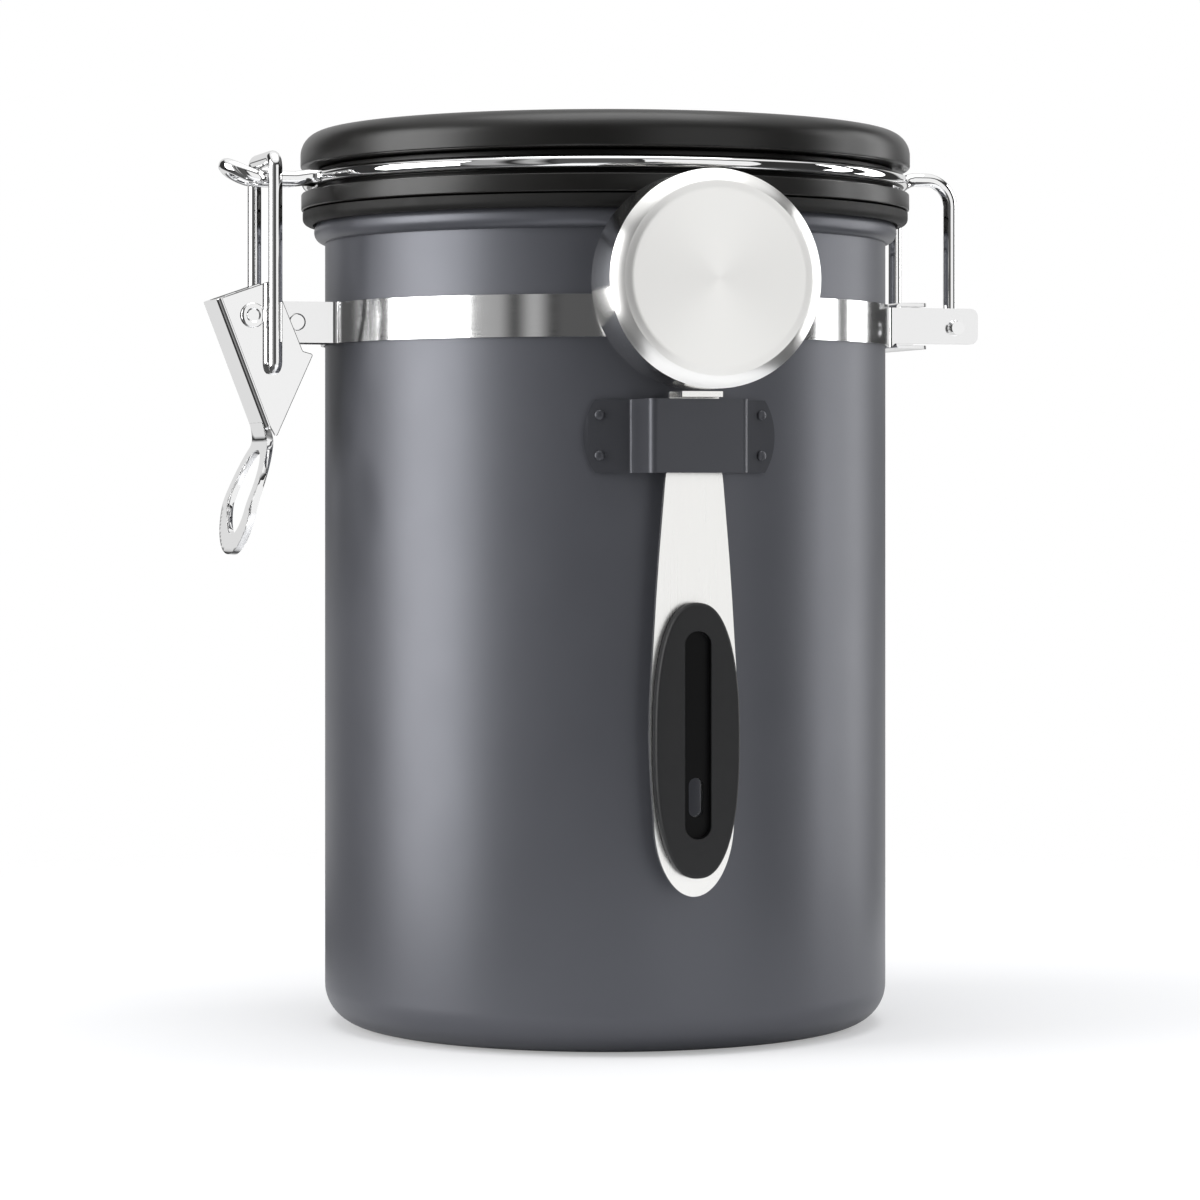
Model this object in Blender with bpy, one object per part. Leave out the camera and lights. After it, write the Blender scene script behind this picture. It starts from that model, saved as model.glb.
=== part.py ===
"""Coffee canister: a drawn steel can, a bail-wire lid, an over-centre latch and a clip-on scoop.

Metres, +Z up, origin at the centre of the flat underside.
The hinge is toward +X, the latch toward -X, and the scoop hangs close to -Y.
"""

import math

import bmesh
import bpy
from mathutils import Matrix, Vector

# Clearances
GAP = 0.0003  # between neighbours that touch or bear on each other
PIN_GAP = 0.00025  # round a pin in its hole
OVERRUN = 0.002  # how far a cutter runs past what it cuts

# Can
CAN_R = 0.0590
CAN_WALL = 0.0006
CAN_FOOT_R = 0.0082
RIM_TOP = 0.1680
RIM_BULGE = 0.0023
RIM_H = 0.0048
RIM_LIP_R = 0.0005

# Gasket and lid
GASKET_T = 0.0014
GASKET_PAST = 0.0047  # beyond the can's side
GASKET_LIP = 0.0013
GASKET_ROUND = 0.0014
GASKET_SHOULDER_SHARE = 0.8  # of the rim's bulge
PLUG_INSET = 0.0069  # in from the can's wall
PLUG_WALL = 0.0020
PLUG_DEPTH = 0.0070
LID_PAST = 0.0050  # beyond the can's side
LID_PLATE = 0.0020
LID_FLANGE = 0.0036
LID_CHAMFER = 0.0004
GROOVE_DEPTH = 0.0034
GROOVE_H = 0.0052
COVER_PAST = 0.00015  # beyond the flange below it
COVER_H = 0.0076
COVER_ROUND = 0.0048
COVER_FLOOR = 0.0020

# Date dials, let into the cover round the vent cap
DIAL_POCKET = 0.0028
DIAL_T = 0.0021
DIAL_LAP = 0.0020
DIAL_LAP_T = 0.0009
DIAL_INSET = 0.00735  # in from the cover's rounded edge
DAY_W = 0.0140
MONTH_W = 0.0158
DIMPLE_R = 0.0030
DIMPLE_DEPTH = 0.0009

# Vent cap and one-way valve
CAP_T = 0.0013
CAP_SLACK = 0.0006  # skirt in the month dial
CAP_SKIRT_WALL = 0.0017
CAP_SKIRT = 0.0047
VENT_COUNT = 6
VENT_R = 0.0012
VENT_CIRCLE_SHARE = 0.603  # of the skirt's inside radius
SEAT_R = 0.0130
SEAT_WALL = 0.0015
SEAT_FLOOR = 0.0012
SEAT_CUP = 0.0034
SEAT_NECK_R = 0.0090
SEAT_NECK = 0.0038
SEAT_HOLE_R = 0.0040
FLAP_R = 0.0085
FLAP_T = 0.0009
FLAP_LIFT = 0.0008
RETAINER_T = 0.0010
RETAINER_VENT_COUNT = 4
RETAINER_VENT_CIRCLE = 0.0070
RETAINER_VENT_R = 0.0016
FILTER_R = 0.0120
FILTER_T = 0.0015
CAGE_WALL = 0.0014
CAGE_FLOOR = 0.0011
CAGE_VENT_COUNT = 6
CAGE_VENT_CIRCLE = 0.0070
CAGE_VENT_R = 0.0018

# Clamp band and hinge
BAND_DROP = 0.0263  # lower edge below the rim
BAND_H = 0.0084
BAND_T = 0.0006
BAND_BEND = 0.0016
EAR_CORNER = 0.0017
WIRE_R = 0.00145
HINGE_REACH = 0.0134  # hinge axis out from the can's side
HINGE_EAR_IN = 0.0173
HINGE_EAR_PAST = 0.0053
HINGE_EAR_RISE = 0.0008  # its lower edge above the band's
LEG_SLACK = 0.00065
LEG_END = 0.0018  # wire end beyond the ear
LEG_FOOT_BEND = 0.0019
LEG_TOP_BEND = 0.0055
LEG_RISE = 0.0015
LEG_RAMP = 0.0010  # past the bend
CHANNEL_T = 0.0008
CHANNEL_REACH = 0.0074

# Bail
RING_SLACK = 0.00045
RING_LIFT = 0.0023
RING_BEND = 0.0030
TIP_W = 0.0040
TIP_REACH = 0.02285  # tip's centre line out from the can's side
TIP_RAMP = 0.00635
TIP_RISE = 0.0026
TIP_DIP = 0.0005
TIP_DIP_RUN = 0.0030
TIP_CURL = 1.5

# Latch
FULCRUM_REACH = 0.0188
FULCRUM_RISE = 0.0012
FULCRUM_R = 0.0014
FULCRUM_HEAD_R = 0.00265
FULCRUM_HEAD = 0.0005
LATCH_EAR_IN = 0.0048
LATCH_EAR_PAST = 0.0026
BAND_PIN_REACH = 0.0092
BAND_PIN_R = 0.00165
LEVER_IN = 0.0057
LEVER_T = 0.0009
CHEEK_W = 0.0196
CHEEK_H = 0.0323
CHEEK_BACK = 0.0127
CHEEK_DROP = 0.0250
SPINE_TOP_SHARES = (1.0, 0.876)
SPINE_FOOT_SHARES = (0.485, 0.068)
CHEEK_SHARES = ((0.418, 1.0), (0.112, 0.551), (0.0, 0.532), (0.398, 0.0))
SPINE_T = 0.0013
RING_BEND_SHARES = (0.454, -0.025)
RING_MID_SHARES = (0.704, -0.409)
RING_END_SHARES = (0.806, -0.737)
RING_W = 0.0129
RING_LOW = 0.0096
RING_HIGH = 0.0150
RING_NECK = math.radians(55)
RING_HOLE_W = 0.0084
RING_HOLE_H = 0.0086
RING_HOLE_LIFT = 0.0030
LOOP_REACH = 0.0147
LOOP_DROP = 0.01085
LOOP_SLACK = 0.00245  # wire centre out from the cheek
LOOP_FOOT_BEND = 0.0015
LOOP_TOP_BEND = 0.0026
LATCH_SLACK = 0.0010  # bar above the bail, so that the latch can throw

# Scoop holder
HOLDER_TURN = math.radians(-3.5)
HOLDER_DROP = 0.0531  # lower edge below the rim
HOLDER_H = 0.0144
HOLDER_T = 0.0008
HOLDER_SPREAD = math.radians(19.1)
HOLDER_END_R = 0.0128
CHANNEL_W = 0.0101
CHANNEL_FLARE = 0.0004
CHANNEL_FACE = 0.0122
HOLDER_BEND = 0.0012
RIVET_SPREAD = math.radians(16.0)
RIVET_RISE = 0.0034
RIVET_PITCH = 0.0080
RIVET_R = 0.0006
RIVET_HEAD_R = 0.00100
RIVET_CROWN_SHARE = 0.7
RIVET_HEAD = 0.0004

# Scoop
SCOOP_BACK = 0.0070  # handle's back out from the can's side
BOWL_BACK = 0.0095  # bowl's open rim out from the can's side
BOWL_R = 0.0211
BOWL_WALL = 0.0008
BOWL_DEPTH = 0.0160
BOWL_ROUND = 0.0022
BOWL_FACE_INSET = 0.0001  # in from the rounded edge
BOWL_STEP = 0.0003
HANDLE_T = 0.0012
HANDLE_LENGTH = 0.0985
NECK_T = 0.0011
NECK_W = 0.0041
NECK_LAP = 0.0045  # shelf under the bowl's rim
HANDLE_W = 0.0090
HANDLE_HEIGHT_SHARES = (1.0, 0.86, 0.825, 0.67, 0.51, 0.39, 0.32, 0.23)
HANDLE_WIDTH_SHARES = (0.555, 0.60, 0.65, 0.793, 0.908, 0.983, 1.0, 0.96)
HANDLE_TIP_SHARE = 0.152
HANDLE_TIP_WIDTH_SHARE = 0.90
GRIP_T = 0.0026
GRIP_W = 0.0086
GRIP_LOW = 0.0037  # above the handle's tip
GRIP_LENGTH = 0.0537
GRIP_OVAL_SHARE = 0.833  # 1 for an ellipse, less for fuller ends
GRIP_EDGE = 0.0006
SLOT_W = 0.00265
SLOT_LOW = 0.0077
SLOT_HIGH = 0.0055  # its top below the grip's top
SLOT_DEPTH = 0.0018
EYE_W = 0.0014
EYE_LOW = 0.0042
EYE_LENGTH = 0.0076

# Facets
TURN_STEPS = 48
MID_STEPS = 32
SMALL_STEPS = 20
PIN_STEPS = 12
HOLE_STEPS = 16
ARC_STEPS = 4
GRIP_STEPS = 32
WIRE_STEPS = 2
WIRE_PITCH = 0.0070
SMOOTH_ANGLE = math.radians(32)

# Places worked out from the sizes above
CAN_INSIDE_R = CAN_R - CAN_WALL
GASKET_R = CAN_R + GASKET_PAST
PLUG_R = CAN_INSIDE_R - PLUG_INSET
LID_R = CAN_R + LID_PAST
NECK_R = LID_R - GROOVE_DEPTH
NECK_IN = NECK_R - PLUG_WALL
COVER_R = LID_R + COVER_PAST
LID_Z = RIM_TOP + 2 * GAP + GASKET_T
FLANGE_Z = LID_Z + LID_FLANGE
COVER_Z = FLANGE_Z + GROOVE_H
LID_TOP = COVER_Z + COVER_H
DAY_R = COVER_R - COVER_ROUND - DIAL_INSET
MONTH_R = DAY_R - DAY_W
CAP_R = MONTH_R - MONTH_W
CAP_SKIRT_R = CAP_R - CAP_SLACK
CAP_SKIRT_IN = CAP_SKIRT_R - CAP_SKIRT_WALL
POCKET_Z = LID_TOP - DIAL_POCKET
DIAL_Z = POCKET_Z + GAP
DIAL_TOP = DIAL_Z + DIAL_T
SEAT_Z = LID_Z + LID_PLATE + GAP
FLAP_Z = SEAT_Z + SEAT_FLOOR + GAP
RETAINER_Z = FLAP_Z + FLAP_T + FLAP_LIFT + GAP
FILTER_TOP = SEAT_Z - SEAT_NECK - GAP
CAGE_Z = FILTER_TOP - FILTER_T - GAP - CAGE_FLOOR
BAND_Z = RIM_TOP - BAND_DROP
BAND_MID_Z = BAND_Z + BAND_H / 2
BAND_MID_R = CAN_R + GAP + BAND_T / 2
HINGE_AXIS = Vector((CAN_R + HINGE_REACH, 0, BAND_MID_Z))
LEG_W = HINGE_EAR_IN - LEG_SLACK - WIRE_R
BAIL_Z = FLANGE_Z + RING_LIFT
BAIL_R = NECK_R + RING_SLACK + WIRE_R
TIP_OUT = CAN_R + TIP_REACH
LEVER_AXIS = Vector((-CAN_R - FULCRUM_REACH, 0, BAND_MID_Z + FULCRUM_RISE))
LOOP_AXIS = Vector((-CAN_R - LOOP_REACH, 0, LEVER_AXIS.z - LOOP_DROP))
LEVER_W = LEVER_IN + LEVER_T
LOOP_W = LEVER_W + LOOP_SLACK
LOOP_BAR_Z = BAIL_Z - TIP_DIP + 2 * WIRE_R + LATCH_SLACK
LID_AXIS = Vector((0, 0, LID_TOP))
HOLDER_Z = RIM_TOP - HOLDER_DROP
HOLDER_TOP = HOLDER_Z + HOLDER_H
NECK_Z = HOLDER_TOP + GAP
NECK_TOP = NECK_Z + NECK_T
BOWL_Z = NECK_TOP + GAP + BOWL_R
SCOOP_R = CAN_R + SCOOP_BACK
BOWL_OUT = CAN_R + BOWL_BACK
SCOOP_AXIS = Vector((0, -SCOOP_R, BOWL_Z))
HANDLE_FOOT = NECK_TOP - HANDLE_LENGTH
GRIP_BACK = SCOOP_R + HANDLE_T + GAP


def clear_scene():
    """Empty the file before anything is made."""
    for thing in list(bpy.data.objects):
        bpy.data.objects.remove(thing, do_unlink=True)


def finish(name, colour, roughness, metallic):
    """A plain finish in one colour."""
    material = bpy.data.materials.new(name)
    material.use_nodes = True
    shader = material.node_tree.nodes["Principled BSDF"]
    shader.inputs["Base Color"].default_value = (*colour, 1)
    shader.inputs["Roughness"].default_value = roughness
    shader.inputs["Metallic"].default_value = metallic
    material.diffuse_color = (*colour, 1)
    return material


def pivot(name, place, parent=None, parent_place=None):
    """An empty on a joint's axis."""
    thing = bpy.data.objects.new(name, None)
    bpy.context.scene.collection.objects.link(thing)
    thing.location = place - (parent_place or Vector())
    thing.parent = parent
    return thing


def solid(name, shape, material=None, axis=None, place=None):
    """An object from a bmesh drawn in place, with its origin moved onto its axis."""
    bmesh.ops.recalc_face_normals(shape, faces=shape.faces)
    mesh = bpy.data.meshes.new(name)
    shape.to_mesh(mesh)
    shape.free()
    if place is not None:
        mesh.transform(Matrix.Translation(-place))
    mesh.shade_smooth()
    mesh.set_sharp_from_angle(angle=SMOOTH_ANGLE)
    thing = bpy.data.objects.new(name, mesh)
    bpy.context.scene.collection.objects.link(thing)
    thing.parent = axis
    if material:
        mesh.materials.append(material)
    return thing


def shaped(thing, cutter, operation):
    """Cut, trim or join an object with another, which stays behind as a guide."""
    modifier = thing.modifiers.new(operation.title(), "BOOLEAN")
    modifier.object = cutter
    modifier.operation = operation
    modifier.solver = "EXACT"
    cutter.hide_render = True
    cutter.display_type = "WIRE"


def arc(u, v, radius, start, end, steps=ARC_STEPS, squash=1):
    """Points on an arc about (u, v) from one angle in degrees to another; squash scales v."""
    turns = [math.radians(start + (end - start) * i / steps) for i in range(steps + 1)]
    return [(u + radius * math.cos(t), v + radius * squash * math.sin(t)) for t in turns]


def turned_shape(profile, steps=TURN_STEPS):
    """A closed solid of revolution about Z from an outline of (radius, height) points."""
    shape = bmesh.new()
    points = [shape.verts.new((radius, 0, height)) for radius, height in profile]
    pairs = zip(points, points[1:] + points[:1])
    edges = [shape.edges.new(pair) for pair in pairs if pair[0].co.x or pair[1].co.x]
    bmesh.ops.spin(
        shape, geom=points + edges, axis=(0, 0, 1), cent=(0, 0, 0),
        angle=math.tau, steps=steps, use_merge=True, use_duplicate=False,
    )
    bmesh.ops.remove_doubles(shape, verts=shape.verts, dist=GAP / 100)
    return shape


def rod_shape(radius, start, end, steps=PIN_STEPS):
    """A round rod between two points."""
    start, end = Vector(start), Vector(end)
    run = end - start
    turn = Vector((0, 0, 1)).rotation_difference(run).to_matrix().to_4x4()
    shape = bmesh.new()
    bmesh.ops.create_cone(
        shape, cap_ends=True, segments=steps, radius1=radius, radius2=radius,
        depth=run.length, matrix=Matrix.Translation((start + end) / 2) @ turn,
    )
    return shape


def merged(shapes):
    """Several shapes in one bmesh."""
    whole = bmesh.new()
    for shape in shapes:
        part = bpy.data.meshes.new("part")
        shape.to_mesh(part)
        shape.free()
        whole.from_mesh(part)
        bpy.data.meshes.remove(part)
    return whole


def prism_shape(outline, run):
    """A flat outline of 3-D points, drawn out along a vector."""
    shape = bmesh.new()
    face = shape.faces.new([shape.verts.new(point) for point in outline])
    drawn = bmesh.ops.extrude_face_region(shape, geom=[face])["geom"]
    corners = [item for item in drawn if isinstance(item, bmesh.types.BMVert)]
    bmesh.ops.translate(shape, verts=corners, vec=run)
    return shape


def strip_shape(path, thickness, place, run):
    """Bent sheet: a path of (u, v) points at mid thickness, drawn out along run."""
    sides = ([], [])
    for i, (u, v) in enumerate(path):
        before = path[max(i - 1, 0)]
        after = path[min(i + 1, len(path) - 1)]
        along = Vector((after[0] - before[0], after[1] - before[1])).normalized()
        first = Vector((u - before[0], v - before[1])) if i else along
        lean = max(first.normalized().dot(along), 0.5)
        offset = Vector((-along.y, along.x)) * thickness / 2 / lean
        sides[0].append(place(u + offset.x, v + offset.y))
        sides[1].append(place(u - offset.x, v - offset.y))
    shape = bmesh.new()
    left, right = ([shape.verts.new(point) for point in side] for side in sides)
    for i in range(len(path) - 1):
        shape.faces.new((left[i], left[i + 1], right[i + 1], right[i]))
    drawn = bmesh.ops.extrude_face_region(shape, geom=list(shape.faces))["geom"]
    moved = [item for item in drawn if isinstance(item, bmesh.types.BMVert)]
    bmesh.ops.translate(shape, verts=moved, vec=run)
    return shape


def rounded(shape, edges, radius, steps=ARC_STEPS):
    """Round the given edges of a shape."""
    bmesh.ops.bevel(
        shape, geom=edges, offset=radius, offset_type="OFFSET", segments=steps,
        profile=0.5, affect="EDGES", clamp_overlap=False, material=-1,
    )


def fillet(before, corner, after, radius, steps=ARC_STEPS):
    """Points that round the corner of a wire's route."""
    into, out = (before - corner).normalized(), (after - corner).normalized()
    half = into.angle(out) / 2
    centre = corner + (into + out).normalized() * radius / math.sin(half)
    start = corner + into * radius / math.tan(half) - centre
    end = corner + out * radius / math.tan(half) - centre
    turn = start.angle(end)
    points = []
    for i in range(steps + 1):
        share = i / steps
        points.append(
            centre + (start * math.sin(turn * (1 - share)) + end * math.sin(turn * share)) / math.sin(turn)
        )
    return points


def wire(name, route, material, axis, place):
    """A round wire along a route of points."""
    curve = bpy.data.curves.new(name, "CURVE")
    curve.dimensions = "3D"
    curve.bevel_depth = WIRE_R
    curve.bevel_resolution = WIRE_STEPS
    curve.use_fill_caps = True
    spline = curve.splines.new("POLY")
    spline.points.add(len(route) - 1)
    for point, target in zip(spline.points, route):
        point.co = (*(target - place), 1)
    curve.materials.append(material)
    thing = bpy.data.objects.new(name, curve)
    bpy.context.scene.collection.objects.link(thing)
    thing.parent = axis
    return thing


def holes(count, circle, radius, low, high):
    """Upright round cutters on a circle about Z."""
    turns = [math.tau * i / count for i in range(count)]
    spots = [(circle * math.cos(t), circle * math.sin(t)) for t in turns]
    return merged(rod_shape(radius, (x, y, low), (x, y, high)) for x, y in spots)


def lever_point(shares):
    """A corner of the lever's cheek, from shares of its width and height."""
    out = -LEVER_AXIS.x - CHEEK_BACK + shares[0] * CHEEK_W
    return out, LEVER_AXIS.z - CHEEK_DROP + shares[1] * CHEEK_H


def can(material):
    """The drawn can: flat foot, straight wall and a rolled rim."""
    foot = arc(CAN_R - CAN_FOOT_R, CAN_FOOT_R, CAN_FOOT_R, -90, 0)
    bulge = arc(CAN_R, RIM_TOP - RIM_H / 2, RIM_BULGE, -80, 90, 6, RIM_H / 2 / RIM_BULGE)
    lip = arc(CAN_INSIDE_R + RIM_LIP_R, RIM_TOP - RIM_LIP_R, RIM_LIP_R, 90, 180, 2)
    inside_r = CAN_FOOT_R - CAN_WALL
    inside = arc(CAN_INSIDE_R - inside_r, CAN_FOOT_R, inside_r, 0, -90)
    neck = [(CAN_R, RIM_TOP - RIM_H)]
    shape = turned_shape([(0, 0)] + foot + neck + bulge + lip + inside + [(0, CAN_WALL)])
    body = solid("can_body", shape, material)
    for turn, height in rivet_places():
        out = Matrix.Rotation(turn, 3, "Z") @ Vector((0, -1, 0))
        start = out * (CAN_INSIDE_R - OVERRUN)
        end = out * (CAN_R + OVERRUN)
        rise = Vector((0, 0, height))
        cutter = solid("can_rivet_hole", rod_shape(RIVET_R + PIN_GAP, start + rise, end + rise))
        shaped(body, cutter, "DIFFERENCE")


def gasket(material, axis):
    """The black seal on the rim, with a skirt that laps the rolled edge."""
    low, high = RIM_TOP + GAP, LID_Z - GAP
    lip = low - GASKET_LIP
    profile = [(PLUG_R + GAP, high), (GASKET_R, high)]
    profile += arc(GASKET_R - GASKET_ROUND, lip + GASKET_ROUND, GASKET_ROUND, 0, -90, 3)
    profile += [(CAN_R + RIM_BULGE + GAP, lip), (CAN_R + RIM_BULGE * GASKET_SHOULDER_SHARE, low)]
    profile += [(PLUG_R + GAP, low)]
    solid("lid_gasket", turned_shape(profile), material, axis, HINGE_AXIS)


def lid_base(material, axis):
    """The lid's lower moulding: plate, plug, flange and the neck that the bail grips."""
    hole_r = SEAT_NECK_R + PIN_GAP
    plate = LID_Z + LID_PLATE
    profile = [
        (hole_r, LID_Z), (PLUG_R - PLUG_WALL, LID_Z), (PLUG_R - PLUG_WALL, LID_Z - PLUG_DEPTH),
        (PLUG_R, LID_Z - PLUG_DEPTH), (PLUG_R, LID_Z), (LID_R, LID_Z),
        (LID_R, FLANGE_Z - LID_CHAMFER), (LID_R - LID_CHAMFER, FLANGE_Z), (NECK_R, FLANGE_Z),
        (NECK_R, COVER_Z - GAP), (NECK_IN, COVER_Z - GAP), (NECK_IN, plate), (hole_r, plate),
    ]
    solid("lid_base", turned_shape(profile), material, axis, HINGE_AXIS)


def lid_cover(material, axis):
    """The lid's upper moulding, with a pocket for the dials and a hole for the vent cap."""
    floor = POCKET_Z - COVER_FLOOR
    hole_r = CAP_SKIRT_R + GAP
    edge = arc(COVER_R - COVER_ROUND, LID_TOP - COVER_ROUND, COVER_ROUND, 0, 90)
    profile = [(NECK_IN, COVER_Z), (COVER_R - LID_CHAMFER, COVER_Z), (COVER_R, COVER_Z + LID_CHAMFER)]
    profile += edge
    profile += [
        (DAY_R + GAP, LID_TOP), (DAY_R + GAP, POCKET_Z), (hole_r, POCKET_Z),
        (hole_r, floor), (NECK_IN, floor),
    ]
    solid("lid_cover", turned_shape(profile), material, axis, HINGE_AXIS)


def dial(name, inner, outer, laps, material, axis):
    """A date dial: its inner step tucks under its neighbour, and it laps the next one."""
    step_r = inner + DIAL_LAP
    lap_z = DIAL_TOP - DIAL_LAP_T
    profile = [
        (inner, DIAL_Z), (outer, DIAL_Z), (outer, DIAL_TOP), (step_r + GAP, DIAL_TOP),
        (step_r + GAP, lap_z - GAP), (inner, lap_z - GAP),
    ]
    if laps:
        profile[2:3] = [(outer, lap_z), (outer + DIAL_LAP, lap_z), (outer + DIAL_LAP, DIAL_TOP)]
    ring = solid(name, turned_shape(profile), material, axis, LID_AXIS)
    middle = (step_r + outer) / 2
    low = Vector((0, -middle, DIAL_TOP - DIMPLE_DEPTH))
    high = Vector((0, -middle, DIAL_TOP + OVERRUN))
    cutter = solid(name + "_dimple", rod_shape(DIMPLE_R, low, high, HOLE_STEPS), None, axis, LID_AXIS)
    shaped(ring, cutter, "DIFFERENCE")


def vent_cap(material, axis):
    """The cap in the middle of the dials, pierced over the valve."""
    low = DIAL_TOP - DIAL_LAP_T
    top = low + CAP_T
    flange_r = CAP_R + DIAL_LAP
    profile = [
        (0, low), (CAP_SKIRT_IN, low), (CAP_SKIRT_IN, low - CAP_SKIRT), (CAP_SKIRT_R, low - CAP_SKIRT),
        (CAP_SKIRT_R, low), (flange_r, low), (flange_r, top - GAP), (flange_r - GAP, top), (0, top),
    ]
    cap = solid("vent_cap", turned_shape(profile, MID_STEPS), material, axis, HINGE_AXIS)
    cutters = holes(VENT_COUNT, CAP_SKIRT_IN * VENT_CIRCLE_SHARE, VENT_R, low - OVERRUN, top + OVERRUN)
    shaped(cap, solid("vent_cap_holes", cutters, None, axis, HINGE_AXIS), "DIFFERENCE")


def valve_seat(material, axis):
    """The valve's cup, through the lid's plate."""
    floor = SEAT_Z + SEAT_FLOOR
    cup_r = SEAT_R - SEAT_WALL
    profile = [
        (SEAT_HOLE_R, SEAT_Z - SEAT_NECK), (SEAT_NECK_R, SEAT_Z - SEAT_NECK), (SEAT_NECK_R, SEAT_Z),
        (SEAT_R, SEAT_Z), (SEAT_R, floor + SEAT_CUP), (cup_r, floor + SEAT_CUP), (cup_r, floor),
        (SEAT_HOLE_R, floor),
    ]
    solid("valve_seat", turned_shape(profile, SMALL_STEPS), material, axis, HINGE_AXIS)


def valve_flap(material, axis):
    """The silicone disc that lifts to let gas out."""
    low, high = Vector((0, 0, FLAP_Z)), Vector((0, 0, FLAP_Z + FLAP_T))
    solid("valve_flap", rod_shape(FLAP_R, low, high, SMALL_STEPS), material, axis, low)


def valve_retainer(material, axis):
    """The pierced disc that keeps the flap in its cup."""
    radius = SEAT_R - SEAT_WALL - GAP
    low, high = RETAINER_Z, RETAINER_Z + RETAINER_T
    shape = rod_shape(radius, (0, 0, low), (0, 0, high), SMALL_STEPS)
    disc = solid("valve_retainer", shape, material, axis, HINGE_AXIS)
    cutters = holes(RETAINER_VENT_COUNT, RETAINER_VENT_CIRCLE, RETAINER_VENT_R, low - OVERRUN, high + OVERRUN)
    shaped(disc, solid("valve_retainer_holes", cutters, None, axis, HINGE_AXIS), "DIFFERENCE")


def filter_parts(pad_material, cage_material, axis):
    """The filter pad under the valve, and the pierced cage that holds it to the lid."""
    pad = rod_shape(FILTER_R, (0, 0, FILTER_TOP - FILTER_T), (0, 0, FILTER_TOP), SMALL_STEPS)
    solid("filter_pad", pad, pad_material, axis, HINGE_AXIS)
    inner = FILTER_R + GAP
    floor = CAGE_Z + CAGE_FLOOR
    profile = [
        (0, CAGE_Z), (inner + CAGE_WALL, CAGE_Z), (inner + CAGE_WALL, LID_Z - GAP),
        (inner, LID_Z - GAP), (inner, floor), (0, floor),
    ]
    cage = solid("filter_cage", turned_shape(profile, SMALL_STEPS), cage_material, axis, HINGE_AXIS)
    cutters = holes(CAGE_VENT_COUNT, CAGE_VENT_CIRCLE, CAGE_VENT_R, CAGE_Z - OVERRUN, floor + OVERRUN)
    shaped(cage, solid("filter_cage_holes", cutters, None, axis, HINGE_AXIS), "DIFFERENCE")


def band_path(side):
    """Plan of one half band: latch ear, bend, half way round the can, bend, hinge ear."""
    latch_w = LATCH_EAR_IN + BAND_T / 2
    hinge_w = HINGE_EAR_IN + BAND_T / 2
    reach = BAND_MID_R + BAND_BEND
    latch_x = math.sqrt(reach ** 2 - (latch_w + BAND_BEND) ** 2)
    hinge_x = math.sqrt(reach ** 2 - (hinge_w + BAND_BEND) ** 2)
    latch_turn = math.degrees(math.atan2(latch_w + BAND_BEND, latch_x))
    hinge_turn = math.degrees(math.atan2(hinge_w + BAND_BEND, hinge_x))
    path = [(LEVER_AXIS.x - LATCH_EAR_PAST, -latch_w)]
    path += arc(-latch_x, -latch_w - BAND_BEND, BAND_BEND, 90, latch_turn)
    path += arc(0, 0, BAND_MID_R, 180 + latch_turn, 360 - hinge_turn, TURN_STEPS // 2)[1:-1]
    path += arc(hinge_x, -hinge_w - BAND_BEND, BAND_BEND, 180 - hinge_turn, 90)
    path += [(HINGE_AXIS.x + HINGE_EAR_PAST, -hinge_w)]
    return [(x, y * side) for x, y in path]


def band(name, side, material):
    """Half of the polished clamp band; its ends are the ears of the latch and the hinge."""
    path = band_path(side)
    shape = strip_shape(path, BAND_T, lambda x, y: Vector((x, y, BAND_Z)), (0, 0, BAND_H))
    for vertex in shape.verts:
        if vertex.co.x > path[-2][0] - BAND_T and vertex.co.z < BAND_MID_Z:
            vertex.co.z += HINGE_EAR_RISE
    ends = (path[0][0], path[-1][0])
    corners = [
        edge for edge in shape.edges
        if edge.calc_length() < 2 * BAND_T and min(abs(edge.verts[0].co.x - x) for x in ends) < GAP
    ]
    rounded(shape, corners, EAR_CORNER)
    half = solid(name, shape, material)
    pins = (
        (HINGE_AXIS.x, BAND_MID_Z, WIRE_R),
        (LEVER_AXIS.x, LEVER_AXIS.z, FULCRUM_R),
        (-CAN_R - BAND_PIN_REACH, BAND_MID_Z, BAND_PIN_R),
    )
    for x, z, radius in pins:
        ear = HINGE_EAR_IN if x > 0 else LATCH_EAR_IN
        start = (x, -side * (ear - OVERRUN), z)
        end = (x, -side * (ear + BAND_T + OVERRUN), z)
        cutter = solid(name + "_hole", rod_shape(radius + PIN_GAP, start, end, HOLE_STEPS))
        shaped(half, cutter, "DIFFERENCE")


def hinge_channel(material):
    """The channel between the hinge ears, open outward."""
    web_x = CAN_R + GAP + CHANNEL_T / 2
    reach = CAN_R + CHANNEL_REACH
    half_w = HINGE_EAR_IN - GAP
    low = BAND_Z + HINGE_EAR_RISE - GAP - CHANNEL_T / 2
    high = BAND_Z + BAND_H + GAP + CHANNEL_T / 2
    path = [(reach, low), (web_x, low), (web_x, high), (reach, high)]
    shape = strip_shape(path, CHANNEL_T, lambda x, z: Vector((x, -half_w, z)), (0, 2 * half_w, 0))
    solid("hinge_channel", shape, material)


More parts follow.
